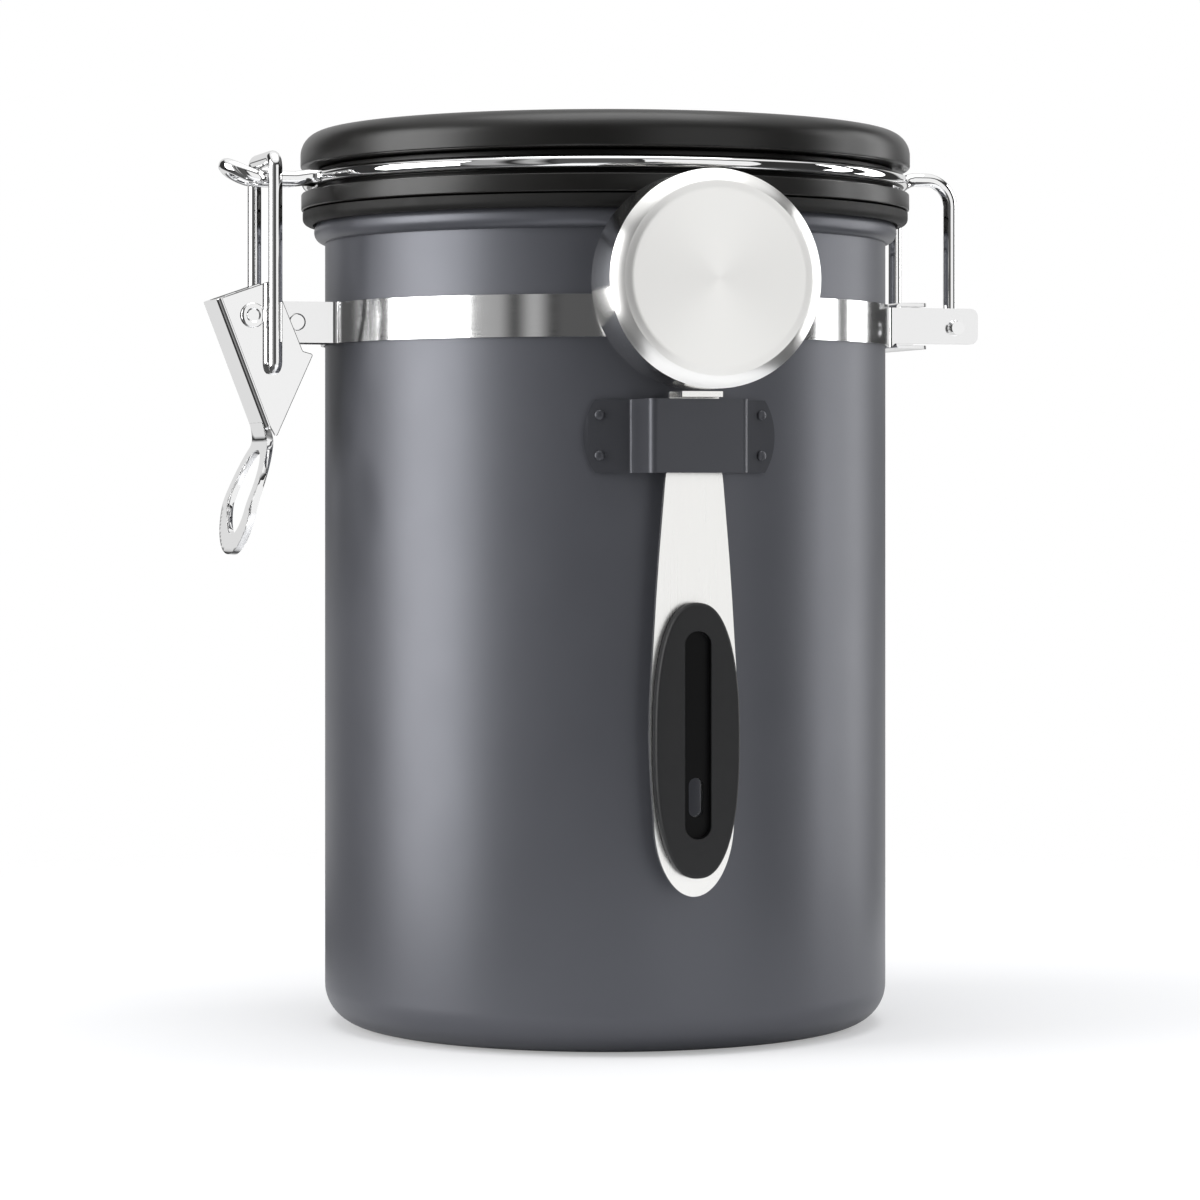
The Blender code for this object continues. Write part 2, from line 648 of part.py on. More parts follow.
def pins(material):
    """The flush pin that closes the band, and the domed rivet that the lever turns on."""
    ear = LATCH_EAR_IN + BAND_T
    x, z = -CAN_R - BAND_PIN_REACH, BAND_MID_Z
    solid("band_pin", rod_shape(BAND_PIN_R, (x, -ear, z), (x, ear, z)), material)
    under = LEVER_W + PIN_GAP
    top = under + FULCRUM_HEAD
    flat_r = FULCRUM_HEAD_R / 2
    head = [(FULCRUM_R, under), (FULCRUM_HEAD_R, under), (FULCRUM_HEAD_R - PIN_GAP, under + FULCRUM_HEAD / 2)]
    head += [(flat_r + PIN_GAP, top - PIN_GAP / 2), (flat_r, top)]
    mirrored = [(radius, -height) for radius, height in reversed(head)]
    profile = [(0, -top)] + mirrored + head + [(0, top)]
    shape = turned_shape(profile, HOLE_STEPS)
    turn = Matrix.Translation(LEVER_AXIS) @ Matrix.Rotation(math.radians(90), 4, "X")
    bmesh.ops.transform(shape, matrix=turn, verts=shape.verts)
    solid("fulcrum_rivet", shape, material)


def bail_route():
    """The bail's route: hinge foot, leg, round the lid's neck, hooked tip and back again."""
    def flat(point):
        ramp = (point[0] - ramp_start) / (leg_x + LEG_RAMP - ramp_start)
        return Vector((point[0], point[1], BAIL_Z + LEG_RISE * min(max(ramp, 0), 1)))

    def lifted(x, y):
        ramp = max(-x - (TIP_OUT - TIP_RAMP), 0) / TIP_RAMP
        return Vector((x, y, BAIL_Z - TIP_DIP + TIP_RISE * ramp ** TIP_CURL))

    reach = BAIL_R + RING_BEND
    leg_x = math.sqrt(reach ** 2 - (LEG_W + RING_BEND) ** 2)
    tip_x = math.sqrt(reach ** 2 - (TIP_W + RING_BEND) ** 2)
    leg_turn = math.degrees(math.atan2(LEG_W + RING_BEND, leg_x))
    tip_turn = math.degrees(math.atan2(TIP_W + RING_BEND, tip_x))
    ramp_start = BAIL_R * leg_x / reach
    foot_end = Vector((HINGE_AXIS.x, -(HINGE_EAR_IN + BAND_T + LEG_END), HINGE_AXIS.z))
    foot = Vector((HINGE_AXIS.x, -LEG_W, HINGE_AXIS.z))
    knee = Vector((HINGE_AXIS.x, -LEG_W, BAIL_Z + LEG_RISE))
    landing = flat((leg_x + LEG_RAMP, -LEG_W))
    ring_steps = round(math.pi * BAIL_R / WIRE_PITCH)
    route = [foot_end]
    route += fillet(foot_end, foot, knee, LEG_FOOT_BEND)
    route += fillet(foot, knee, landing, LEG_TOP_BEND, 5) + [landing]
    route += [flat(p) for p in arc(leg_x, -LEG_W - RING_BEND, RING_BEND, 90, 180 - leg_turn)]
    route += [flat(p) for p in arc(0, 0, BAIL_R, -leg_turn, tip_turn - 180, ring_steps)[1:-1]]
    route += [flat(p) for p in arc(-tip_x, -TIP_W - RING_BEND, RING_BEND, tip_turn, 90)]
    start, end = TIP_OUT - TIP_RAMP, TIP_OUT - TIP_W
    route += [lifted(-x, -TIP_W) for x in (tip_x + TIP_DIP_RUN, start, (start + end) / 2)]
    route += [lifted(x, y) for x, y in arc(-end, 0, TIP_W, -90, -180, 4)]
    back = [Vector((point.x, -point.y, point.z)) for point in reversed(route[:-1])]
    return route + back


def loop_route():
    """The pull loop's route: inturned foot, leg, bar over the bail, leg, foot."""
    x, bar = LOOP_AXIS.x, LOOP_BAR_Z
    end = Vector((x, -LEVER_IN + PIN_GAP / 2, LOOP_AXIS.z))
    foot = Vector((x, -LOOP_W, LOOP_AXIS.z))
    shoulder = Vector((x, -LOOP_W, bar))
    middle = Vector((x, 0, bar))
    route = [end] + fillet(end, foot, shoulder, LOOP_FOOT_BEND)
    route += fillet(foot, shoulder, middle, LOOP_TOP_BEND)
    return route + [Vector((point.x, -point.y, point.z)) for point in reversed(route)]


def lever(material, axis):
    """The latch lever: two cheeks, the spine between them and the finger ring."""
    top, foot = lever_point(SPINE_TOP_SHARES), lever_point(SPINE_FOOT_SHARES)
    bend, mid, end = (lever_point(s) for s in (RING_BEND_SHARES, RING_MID_SHARES, RING_END_SHARES))
    span = Vector((2 * CHEEK_W, 0, 0))

    def sheet(out, height):
        return Vector((-out, -RING_W, height))

    def across(outline):
        return [Vector((LEVER_AXIS.x - CHEEK_W, y, height)) for y, height in outline]

    shape = strip_shape([top, foot, bend, mid, end], SPINE_T, sheet, (0, 2 * RING_W, 0))
    body = solid("latch_lever", shape, material, axis, LEVER_AXIS)
    centre = end[1] + RING_LOW
    neck_turn = math.degrees(RING_NECK)
    outline = arc(0, centre, RING_W, 180 - neck_turn, 180, 5, RING_HIGH / RING_W)[:-1]
    outline += arc(0, centre, RING_W, 180, 360, 14, RING_LOW / RING_W)[:-1]
    outline += arc(0, centre, RING_W, 0, neck_turn, 5, RING_HIGH / RING_W)
    outline += [(LEVER_W, bend[1]), (LEVER_W, top[1] + OVERRUN)]
    outline += [(-LEVER_W, top[1] + OVERRUN), (-LEVER_W, bend[1])]
    trim = solid("lever_trim", prism_shape(across(outline), span), None, axis, LEVER_AXIS)
    shaped(body, trim, "INTERSECT")
    hole = arc(0, centre + RING_HOLE_LIFT, RING_HOLE_W, 0, 360, 24, RING_HOLE_H / RING_HOLE_W)[:-1]
    hollow = solid("lever_finger_hole", prism_shape(across(hole), span), None, axis, LEVER_AXIS)
    shaped(body, hollow, "DIFFERENCE")
    cheek = [top] + [lever_point(shares) for shares in CHEEK_SHARES] + [foot]
    for side in (-1, 1):
        outline = [Vector((-out, side * LEVER_IN, height)) for out, height in cheek]
        plate = prism_shape(outline, (0, side * LEVER_T, 0))
        shaped(body, solid("lever_cheek", plate, None, axis, LEVER_AXIS), "UNION")
    for place, radius in ((LEVER_AXIS, FULCRUM_R), (LOOP_AXIS, WIRE_R)):
        run = Vector((0, LEVER_W + OVERRUN, 0))
        drill = rod_shape(radius + PIN_GAP, place - run, place + run, HOLE_STEPS)
        shaped(body, solid("lever_drill", drill, None, axis, LEVER_AXIS), "DIFFERENCE")


def rivet_places():
    """Turn about Z and height of each rivet that holds the scoop's holder."""
    rises = (RIVET_RISE, RIVET_RISE + RIVET_PITCH)
    return [(HOLDER_TURN + side * RIVET_SPREAD, HOLDER_Z + rise) for side in (-1, 1) for rise in rises]


def holder(material):
    """The painted holder: two tabs on the can and a channel that the scoop drops into."""
    mid_r = CAN_R + GAP + HOLDER_T / 2
    face = CAN_R + CHANNEL_FACE - HOLDER_T / 2
    half_w = CHANNEL_W - HOLDER_T / 2
    root_w = half_w + CHANNEL_FLARE
    reach = mid_r + HOLDER_BEND
    root_y = math.sqrt(reach ** 2 - (root_w + HOLDER_BEND) ** 2)
    root_turn = math.degrees(math.atan2(root_w + HOLDER_BEND, root_y))
    spread = math.degrees(HOLDER_SPREAD) + root_turn
    right = arc(0, 0, mid_r, -90 + spread, -90 + root_turn, 5)[:-1]
    right += arc(root_w + HOLDER_BEND, -root_y, HOLDER_BEND, 90 + root_turn, 180, 3)
    right += arc(half_w - HOLDER_BEND, -face + HOLDER_BEND, HOLDER_BEND, 0, -90, 3)
    path = right + [(-x, y) for x, y in reversed(right)]
    shape = strip_shape(path, HOLDER_T, lambda x, y: Vector((x, y, HOLDER_Z)), (0, 0, HOLDER_H))
    thing = solid("scoop_holder", shape, material)
    thing.rotation_euler.z = HOLDER_TURN
    half = (CAN_R + GAP) * math.sin(HOLDER_SPREAD)
    end_turn = math.degrees(math.asin(HOLDER_H / 2 / HOLDER_END_R))
    end = arc(half - HOLDER_END_R, HOLDER_Z + HOLDER_H / 2, HOLDER_END_R, -end_turn, end_turn, 8)
    points = [Vector((x, 0, z)) for x, z in end + [(-x, z) for x, z in reversed(end)]]
    trim = solid("holder_trim", prism_shape(points, (0, -2 * CAN_R, 0)))
    trim.rotation_euler.z = HOLDER_TURN
    shaped(thing, trim, "INTERSECT")
    for turn, height in rivet_places():
        out = Matrix.Rotation(turn, 3, "Z") @ Vector((0, -1, 0))
        rise = Vector((0, 0, height))
        start, end = out * CAN_R + rise, out * (mid_r + OVERRUN) + rise
        drill = solid("holder_rivet_hole", rod_shape(RIVET_R + PIN_GAP, start, end))
        shaped(thing, drill, "DIFFERENCE")


def rivets(material):
    """Four small rivets through the holder's tabs and the can's wall."""
    inside = CAN_INSIDE_R - PIN_GAP
    outside = CAN_R + GAP + HOLDER_T + PIN_GAP
    profile = [
        (0, inside - RIVET_HEAD), (RIVET_HEAD_R, inside - RIVET_HEAD), (RIVET_HEAD_R, inside),
        (RIVET_R, inside), (RIVET_R, outside), (RIVET_HEAD_R, outside),
        (RIVET_HEAD_R * RIVET_CROWN_SHARE, outside + RIVET_HEAD), (0, outside + RIVET_HEAD),
    ]
    for number, (turn, height) in enumerate(rivet_places(), 1):
        shape = turned_shape(profile, PIN_STEPS)
        lay = Matrix.Rotation(turn, 4, "Z") @ Matrix.Rotation(math.radians(90), 4, "X")
        bmesh.ops.transform(shape, matrix=Matrix.Translation((0, 0, height)) @ lay, verts=shape.verts)
        solid(f"holder_rivet_{number}", shape, material)


def bowl(material, axis):
    """The scoop's round bowl, open toward the can, with a flat outer face."""
    back = BOWL_OUT - SCOOP_R
    out = back + BOWL_DEPTH
    inner_r, inner = BOWL_R - BOWL_WALL, out - BOWL_WALL
    profile = [(inner_r, back), (BOWL_R, back)]
    profile += arc(BOWL_R - BOWL_ROUND, out - BOWL_STEP - BOWL_ROUND, BOWL_ROUND, 0, 90)
    profile += [(BOWL_R - BOWL_ROUND - BOWL_FACE_INSET, out), (0, out), (0, inner)]
    profile += arc(inner_r - BOWL_ROUND, inner - BOWL_ROUND, BOWL_ROUND, 90, 0, 2)
    shape = turned_shape(profile, MID_STEPS)
    lay = Matrix.Rotation(math.radians(90), 3, "X")
    bmesh.ops.rotate(shape, verts=shape.verts, cent=(0, 0, 0), matrix=lay)
    solid("scoop_bowl", shape, material, axis)


def handle_outline():
    """Half widths and heights up the handle, from its round tip."""
    heights = [HANDLE_FOOT + share * HANDLE_LENGTH for share in HANDLE_HEIGHT_SHARES]
    widths = [share * HANDLE_W for share in HANDLE_WIDTH_SHARES]
    tip_h = HANDLE_TIP_SHARE * HANDLE_LENGTH
    tip_w = HANDLE_TIP_WIDTH_SHARE * HANDLE_W
    right = list(zip(widths, heights)) + arc(0, HANDLE_FOOT + tip_h, tip_w, 0, -90, 6, tip_h / tip_w)
    return right + [(-x, z) for x, z in reversed(right[:-1])]


def grip_outline(middle):
    """An upright oval with full ends."""
    turns = [math.tau * i / GRIP_STEPS for i in range(GRIP_STEPS)]
    return [
        (
            GRIP_W * math.copysign(abs(math.cos(t)) ** GRIP_OVAL_SHARE, math.cos(t)),
            middle + GRIP_LENGTH / 2 * math.copysign(abs(math.sin(t)) ** GRIP_OVAL_SHARE, math.sin(t)),
        )
        for t in turns
    ]


def slot_outline(half_w, low, length):
    """An upright slot with round ends."""
    high = low + length
    return arc(0, high - half_w, half_w, 0, 180, 6) + arc(0, low + half_w, half_w, 180, 360, 6)


def scoop_plate(name, outline, back, depth, material, axis):
    """A flat piece of the scoop, from an outline of (x, z) points."""
    points = [Vector((x, -back, z)) for x, z in outline]
    return solid(name, prism_shape(points, (0, -depth, 0)), material, axis, SCOOP_AXIS)


def handle_and_grip(steel, rubber, axis):
    """The steel handle and the grip on its face, with one hanging eye through both."""
    handle = scoop_plate("scoop_handle", handle_outline(), SCOOP_R, HANDLE_T, steel, axis)
    shelf = [(-NECK_W, NECK_Z), (NECK_W, NECK_Z), (NECK_W, NECK_TOP), (-NECK_W, NECK_TOP)]
    reach = BOWL_OUT + NECK_LAP - SCOOP_R
    shaped(handle, scoop_plate("scoop_shelf", shelf, SCOOP_R, reach, None, axis), "UNION")
    grip_z = HANDLE_FOOT + GRIP_LOW
    points = [Vector((x, -GRIP_BACK, z)) for x, z in grip_outline(grip_z + GRIP_LENGTH / 2)]
    shape = prism_shape(points, (0, -GRIP_T, 0))
    front = [edge for edge in shape.edges if all(v.co.y < -GRIP_BACK - GRIP_T / 2 for v in edge.verts)]
    bmesh.ops.bevel(shape, geom=front, offset=GRIP_EDGE, segments=2, profile=0.5, affect="EDGES", material=-1)
    grip = solid("scoop_grip", shape, rubber, axis, SCOOP_AXIS)
    slot_z = grip_z + SLOT_LOW
    slot = slot_outline(SLOT_W, slot_z, GRIP_LENGTH - SLOT_LOW - SLOT_HIGH)
    face = GRIP_BACK + GRIP_T
    recess = scoop_plate("grip_slot", slot, face - SLOT_DEPTH, SLOT_DEPTH + OVERRUN, None, axis)
    shaped(grip, recess, "DIFFERENCE")
    eye = slot_outline(EYE_W, slot_z + EYE_LOW, EYE_LENGTH)
    through = scoop_plate("scoop_eye", eye, SCOOP_R - OVERRUN, face - SCOOP_R + OVERRUN, None, axis)
    shaped(grip, through, "DIFFERENCE")
    shaped(handle, through, "DIFFERENCE")


def main():
    """Make every piece, each body under the empty on its joint's axis."""
    clear_scene()
    paint = finish("slate_paint", (0.16, 0.17, 0.19), 0.38, 0.25)
    steel = finish("polished_steel", (0.80, 0.80, 0.82), 0.12, 1.0)
    satin = finish("satin_steel", (0.72, 0.73, 0.75), 0.28, 1.0)
    black = finish("lid_black", (0.055, 0.053, 0.050), 0.42, 0.0)
    rubber = finish("black_rubber", (0.030, 0.030, 0.032), 0.60, 0.0)
    silicone = finish("clear_silicone", (0.55, 0.56, 0.56), 0.45, 0.0)
    felt = finish("filter_felt", (0.70, 0.68, 0.62), 0.90, 0.0)

    lid_hinge = pivot("lid_hinge_axis", HINGE_AXIS)
    dials = pivot("dial_axis", LID_AXIS, lid_hinge, HINGE_AXIS)
    flap = pivot("flap_axis", Vector((0, 0, FLAP_Z)), lid_hinge, HINGE_AXIS)
    latch = pivot("lever_axis", LEVER_AXIS)
    swing = pivot("loop_axis", LOOP_AXIS, latch, LEVER_AXIS)
    turn = Matrix.Rotation(HOLDER_TURN, 3, "Z")
    scoop = pivot("scoop_path", turn @ SCOOP_AXIS)
    scoop.rotation_euler.z = HOLDER_TURN

    can(paint)
    band("band_front", 1, steel)
    band("band_rear", -1, steel)
    hinge_channel(steel)
    pins(steel)
    holder(paint)
    rivets(paint)

    gasket(rubber, lid_hinge)
    lid_base(black, lid_hinge)
    lid_cover(black, lid_hinge)
    vent_cap(black, lid_hinge)
    valve_seat(black, lid_hinge)
    valve_flap(silicone, flap)
    valve_retainer(black, lid_hinge)
    filter_parts(felt, black, lid_hinge)
    dial("day_dial", MONTH_R + GAP, DAY_R, False, black, dials)
    dial("month_dial", CAP_R, MONTH_R, True, black, dials)
    wire("bail_wire", bail_route(), steel, lid_hinge, HINGE_AXIS)

    lever(steel, latch)
    wire("pull_loop", loop_route(), steel, swing, LOOP_AXIS)

    bowl(satin, scoop)
    handle_and_grip(satin, rubber, scoop)


main()
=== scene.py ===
import math

import bmesh
import bpy
from mathutils import Matrix, Vector


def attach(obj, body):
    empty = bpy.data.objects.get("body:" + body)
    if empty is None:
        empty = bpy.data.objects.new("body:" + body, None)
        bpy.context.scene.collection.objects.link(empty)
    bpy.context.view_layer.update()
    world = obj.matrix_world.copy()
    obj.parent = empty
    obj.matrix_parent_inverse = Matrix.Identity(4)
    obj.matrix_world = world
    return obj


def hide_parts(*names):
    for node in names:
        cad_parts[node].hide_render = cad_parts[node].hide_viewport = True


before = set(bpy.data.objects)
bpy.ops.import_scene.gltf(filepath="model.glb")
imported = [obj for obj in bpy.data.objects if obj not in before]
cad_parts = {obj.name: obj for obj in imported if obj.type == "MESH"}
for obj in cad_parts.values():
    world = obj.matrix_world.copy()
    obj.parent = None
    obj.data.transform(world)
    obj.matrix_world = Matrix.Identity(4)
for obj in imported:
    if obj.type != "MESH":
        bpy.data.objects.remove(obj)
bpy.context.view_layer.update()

# Sizes shared with the frame, in metres
GAP = 0.0003
WIRE_R = 0.00145
CAN_R = 0.0590
CAN_WALL = 0.0006
RIM_TOP = 0.1680
LID_Z = 0.1700
FLANGE_Z = 0.1736
COVER_Z = 0.1788
LID_TOP = 0.1864
BAND_Z = 0.1417
BAND_H = 0.0084
BAND_T = 0.0006
BAND_R = CAN_R + GAP + BAND_T / 2
HINGE_AXIS = Vector((0.0724, 0, 0.1459))
LEVER_AXIS = Vector((-0.0778, 0, 0.1471))
LOOP_AXIS = Vector((-0.0737, 0, 0.13625))
BAIL_Z = 0.1759
BAIL_R = 0.0625
HOLDER_TURN = math.radians(-3.5)
HOLDER_Z = 0.1149
HOLDER_H = 0.0144
HOLDER_T = 0.0008
BOWL_R = 0.0211
BOWL_Z = 0.1521
SCOOP_R = 0.0660
DIAL_TOP = 0.1860
LATCH_EAR_W = 0.0051
HINGE_EAR_W = 0.0176
EAR_RISE = 0.0008
PIN_X = -CAN_R - 0.0092

# Steps in a full turn, the small easing of edges, and the ways that pieces and the camera face
FULL_TURN = 160
EASE = 0.0002
LAID = Matrix.Rotation(math.radians(90), 4, "X")
SCOOP_PLACE = Matrix.Rotation(HOLDER_TURN, 4, "Z")
LOOK = Vector((0.317, 0.948, 0)).normalized()


# Shapes

def arc(u, v, radius, start, end, steps, squash=1):
    """Points on an arc about (u, v), angles in degrees."""
    turns = [math.radians(start + (end - start) * i / steps) for i in range(steps + 1)]
    return [(u + radius * math.cos(t), v + radius * squash * math.sin(t)) for t in turns]


def lathe(profile, steps=FULL_TURN):
    """A closed solid of revolution about Z."""
    shape = bmesh.new()
    points = [shape.verts.new((radius, 0, height)) for radius, height in profile]
    pairs = zip(points, points[1:] + points[:1])
    edges = [shape.edges.new(pair) for pair in pairs if pair[0].co.x or pair[1].co.x]
    bmesh.ops.spin(
        shape, geom=points + edges, axis=(0, 0, 1), cent=(0, 0, 0),
        angle=math.tau, steps=steps, use_merge=True, use_duplicate=False,
    )
    bmesh.ops.remove_doubles(shape, verts=shape.verts, dist=GAP / 100)
    return shape


def prism(outline, run):
    """A flat outline of 3-D points drawn out along a vector."""
    shape = bmesh.new()
    face = shape.faces.new([shape.verts.new(point) for point in outline])
    drawn = bmesh.ops.extrude_face_region(shape, geom=[face])["geom"]
    moved = [item for item in drawn if isinstance(item, bmesh.types.BMVert)]
    bmesh.ops.translate(shape, verts=moved, vec=run)
    return shape


def sheet(loops, stations, lay):
    """A flat sheet with holes, cut into strips at the stations and laid into place."""
    shape = bmesh.new()
    for loop in loops:
        points = [shape.verts.new((a, b, 0)) for a, b in loop]
        for pair in zip(points, points[1:] + points[:1]):
            shape.edges.new(pair)
    bmesh.ops.triangle_fill(shape, edges=shape.edges[:], use_beauty=True)
    for place in stations:
        whole = shape.verts[:] + shape.edges[:] + shape.faces[:]
        bmesh.ops.bisect_plane(
            shape, geom=whole, dist=1e-7, plane_co=(place, 0, 0), plane_no=(1, 0, 0),
        )
    for vertex in shape.verts:
        vertex.co = lay(vertex.co.x, vertex.co.y)
    return shape


def lengths(path):
    """How far along a path each of its points lies."""
    total = [0]
    for before, after in zip(path, path[1:]):
        total.append(total[-1] + math.dist(before, after))
    return total


def along(path, marks, distance):
    """The point a distance along a path."""
    for i in range(len(marks) - 1):
        if distance <= marks[i + 1] or i == len(marks) - 2:
            share = (distance - marks[i]) / (marks[i + 1] - marks[i])
            a, b = path[i], path[i + 1]
            return a[0] + (b[0] - a[0]) * share, a[1] + (b[1] - a[1]) * share


def fillet(before, corner, after, radius, steps=10):
    """Points that round a corner of a wire's route."""
    into, out = (before - corner).normalized(), (after - corner).normalized()
    half = into.angle(out) / 2
    centre = corner + (into + out).normalized() * radius / math.sin(half)
    start = corner + into * radius / math.tan(half) - centre
    end = corner + out * radius / math.tan(half) - centre
    turn = start.angle(end)
    shares = [i / steps for i in range(steps + 1)]
    return [
        centre + (start * math.sin(turn * (1 - s)) + end * math.sin(turn * s)) / math.sin(turn)
        for s in shares
    ]


def rounded_path(points, radius, steps):
    """A 2-D path with the corners between its ends rounded."""
    spots = [Vector((u, v, 0)) for u, v in points]
    path = [spots[0]]
    for before, corner, after in zip(spots, spots[1:], spots[2:]):
        path += fillet(before, corner, after, radius, steps)
    return [(p.x, p.y) for p in path + [spots[-1]]]


def rounded_loop(points, radius, steps):
    """A closed 2-D outline with its corners rounded."""
    spots = [Vector((u, v, 0)) for u, v in points]
    loop = []
    for i, corner in enumerate(spots):
        loop += fillet(spots[i - 1], corner, spots[(i + 1) % len(spots)], radius, steps)
    return [(p.x, p.y) for p in loop]


def meeting(radius, width, bend):
    """The middle of the bend from a circle to a flat at a half width: how far out it lies, and its turn."""
    out = math.sqrt((radius + bend) ** 2 - (width + bend) ** 2)
    return out, math.degrees(math.atan2(width + bend, out))


def drill(shape, radius, depth, segments, place):
    """Add a round cutter to a shape."""
    bmesh.ops.create_cone(
        shape, cap_ends=True, segments=segments, radius1=radius, radius2=radius, depth=depth, matrix=place,
    )


# Pieces

def placed(name, data):
    """A new object in the scene."""
    thing = bpy.data.objects.new(name, data)
    bpy.context.scene.collection.objects.link(thing)
    return thing


def final_mesh(thing):
    """A new mesh from an object as its modifiers or its curve settings leave it."""
    bpy.context.view_layer.update()
    graph = bpy.context.evaluated_depsgraph_get()
    return bpy.data.meshes.new_from_object(thing.evaluated_get(graph))


def settled(thing):
    """Bake an object's modifiers into its mesh."""
    mesh = final_mesh(thing)
    thing.modifiers.clear()
    thing.data = mesh


def rounding(thing, width, steps):
    """A bevel for an object's sharp edges."""
    edge = thing.modifiers.new("Edge", "BEVEL")
    edge.width, edge.segments, edge.limit_method = width, steps, "ANGLE"
    edge.angle_limit = math.radians(40)


def piece(
    name, shape, finishes=None, body=None, node=None, sheet_t=0, edge=0, edge_steps=2, angle=20,
):
    """A piece from a shape in place: wall thickness, softened edges, and with a node its dress too."""
    bmesh.ops.recalc_face_normals(shape, faces=shape.faces)
    mesh = bpy.data.meshes.new(name)
    shape.to_mesh(mesh)
    shape.free()
    thing = placed(name, mesh)
    if sheet_t:
        wall = thing.modifiers.new("Wall", "SOLIDIFY")
        wall.thickness, wall.offset, wall.use_even_offset = sheet_t, 0, True
    if edge:
        rounding(thing, edge, edge_steps)
    if thing.modifiers:
        settled(thing)
    if node:
        dress(thing, finishes, body, node, angle)
    return thing


def dress(thing, finishes, body, node, angle=20):
    """Shading, finishes and body of a finished piece; the frame's part named by the node is hidden."""
    mesh = thing.data
    mesh.shade_smooth()
    mesh.set_sharp_from_angle(angle=math.radians(angle))
    mesh.materials.clear()
    for material in finishes:
        mesh.materials.append(material)
    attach(thing, body)
    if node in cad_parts:
        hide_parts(node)


def carve(thing, cutter, operation="DIFFERENCE"):
    """Cut, trim or join an object with another, which is then removed."""
    change = thing.modifiers.new("Carve", "BOOLEAN")
    change.object, change.operation, change.solver = cutter, operation, "EXACT"
    settled(thing)
    bpy.data.objects.remove(cutter, do_unlink=True)


def soften(thing, width):
    """Round the sharp edges of a settled piece."""
    rounding(thing, width, 2)
    settled(thing)


def wire(name, route, plating, body, node):
    """A round wire along a route of points."""
    curve = bpy.data.curves.new(name, "CURVE")
    curve.dimensions = "3D"
    curve.bevel_depth, curve.bevel_resolution, curve.use_fill_caps = WIRE_R, 6, True
    spline = curve.splines.new("POLY")
    spline.points.add(len(route) - 1)
    for point, target in zip(spline.points, route):
        point.co = (*target, 1)
    drawn = placed(name + "_route", curve)
    mesh = final_mesh(drawn)
    bpy.data.objects.remove(drawn, do_unlink=True)
    dress(placed(name, mesh), [plating], body, node, 50)


# Finishes

def link(tree, kind, inputs=None, **settings):
    """A node with its settings, its values and what feeds it."""
    made = tree.nodes.new(kind)
    for key, value in settings.items():
        setattr(made, key, value)
    for key, value in (inputs or {}).items():
        if isinstance(value, bpy.types.NodeSocket):
            tree.links.new(value, made.inputs[key])
        else:
            made.inputs[key].default_value = value
    return made


def finish(name, metallic=0.0, **sockets):
    """A Principled finish; the other sockets take plain values."""
    material = bpy.data.materials.new(name)
    material.use_nodes = True
    tree = material.node_tree
    shader = tree.nodes["Principled BSDF"]
    shader.inputs["Metallic"].default_value = metallic
    for key, value in sockets.items():
        shader.inputs[key.replace("_", " ")].default_value = value
    return material, tree, shader


def ramp(tree, source, start, end, low=0, high=1, **settings):
    """A value brought from one range into another."""
    fed = {"Value": source, "From Min": start, "From Max": end, "To Min": low, "To Max": high}
    return link(tree, "ShaderNodeMapRange", fed, **settings).outputs["Result"]


def worked(tree, operation, *inputs):
    """The result of a Math node."""
    return link(tree, "ShaderNodeMath", dict(enumerate(inputs)), operation=operation).outputs["Value"]


def blend(tree, share, first, second):
    """A mix of two values."""
    return link(tree, "ShaderNodeMix", {"Factor": share, "A": first, "B": second}).outputs["Result"]


def either(tree, share, first, second):
    """A mix of two shaders."""
    return link(tree, "ShaderNodeMixShader", {0: share, 1: first, 2: second}).outputs[0]


def tinted(tree, shader, source, dark, light):
    """Base colour that wanders between two tones."""
    mix = link(tree, "ShaderNodeMix", {"Factor": source}, data_type="RGBA")
    mix.inputs["A"].default_value = (*dark, 1)
    mix.inputs["B"].default_value = (*light, 1)
    tree.links.new(mix.outputs["Result"], shader.inputs["Base Color"])


def roughened(tree, shader, source, low, high):
    """Roughness that wanders between two values."""
    tree.links.new(ramp(tree, source, 0, 1, low, high), shader.inputs["Roughness"])


def grained(tree, shader, heights, distance, strength):
    """Surface relief from a height."""
    bump = link(tree, "ShaderNodeBump", {"Height": heights, "Distance": distance, "Strength": strength})
    tree.links.new(bump.outputs["Normal"], shader.inputs["Normal"])


def noise(tree, scale, detail, stretch=(1, 1, 1)):
    """Noise on the object's own coordinates, stretched along its axes."""
    place = link(tree, "ShaderNodeTexCoord").outputs["Object"]
    mapped = link(tree, "ShaderNodeMapping", {"Vector": place, "Scale": stretch}).outputs["Vector"]
    fed = {"Vector": mapped, "Scale": scale, "Detail": detail}
    return link(tree, "ShaderNodeTexNoise", fed).outputs["Fac"]


def rings(tree, centre, turn, scale):
    """Fine turning marks about an axis that lies toward -Y, turned about Z."""
    place = link(tree, "ShaderNodeTexCoord").outputs["Object"]
    mapped = link(
        tree, "ShaderNodeMapping", {"Vector": place, "Location": -centre, "Rotation": (0, 0, -turn)},
        vector_type="POINT",
    )
    split = link(tree, "ShaderNodeSeparateXYZ", {"Vector": mapped.outputs["Vector"]})
    flat = link(tree, "ShaderNodeCombineXYZ", {"X": split.outputs["X"], "Z": split.outputs["Z"]})
    radius = link(tree, "ShaderNodeVectorMath", {0: flat.outputs["Vector"]}, operation="LENGTH")
    marks = link(tree, "ShaderNodeCombineXYZ", {"X": radius.outputs["Value"], "Y": split.outputs["Y"]})
    return link(
        tree, "ShaderNodeTexNoise", {"Vector": marks.outputs["Vector"], "Scale": scale, "Detail": 3.0},
    ).outputs["Fac"]


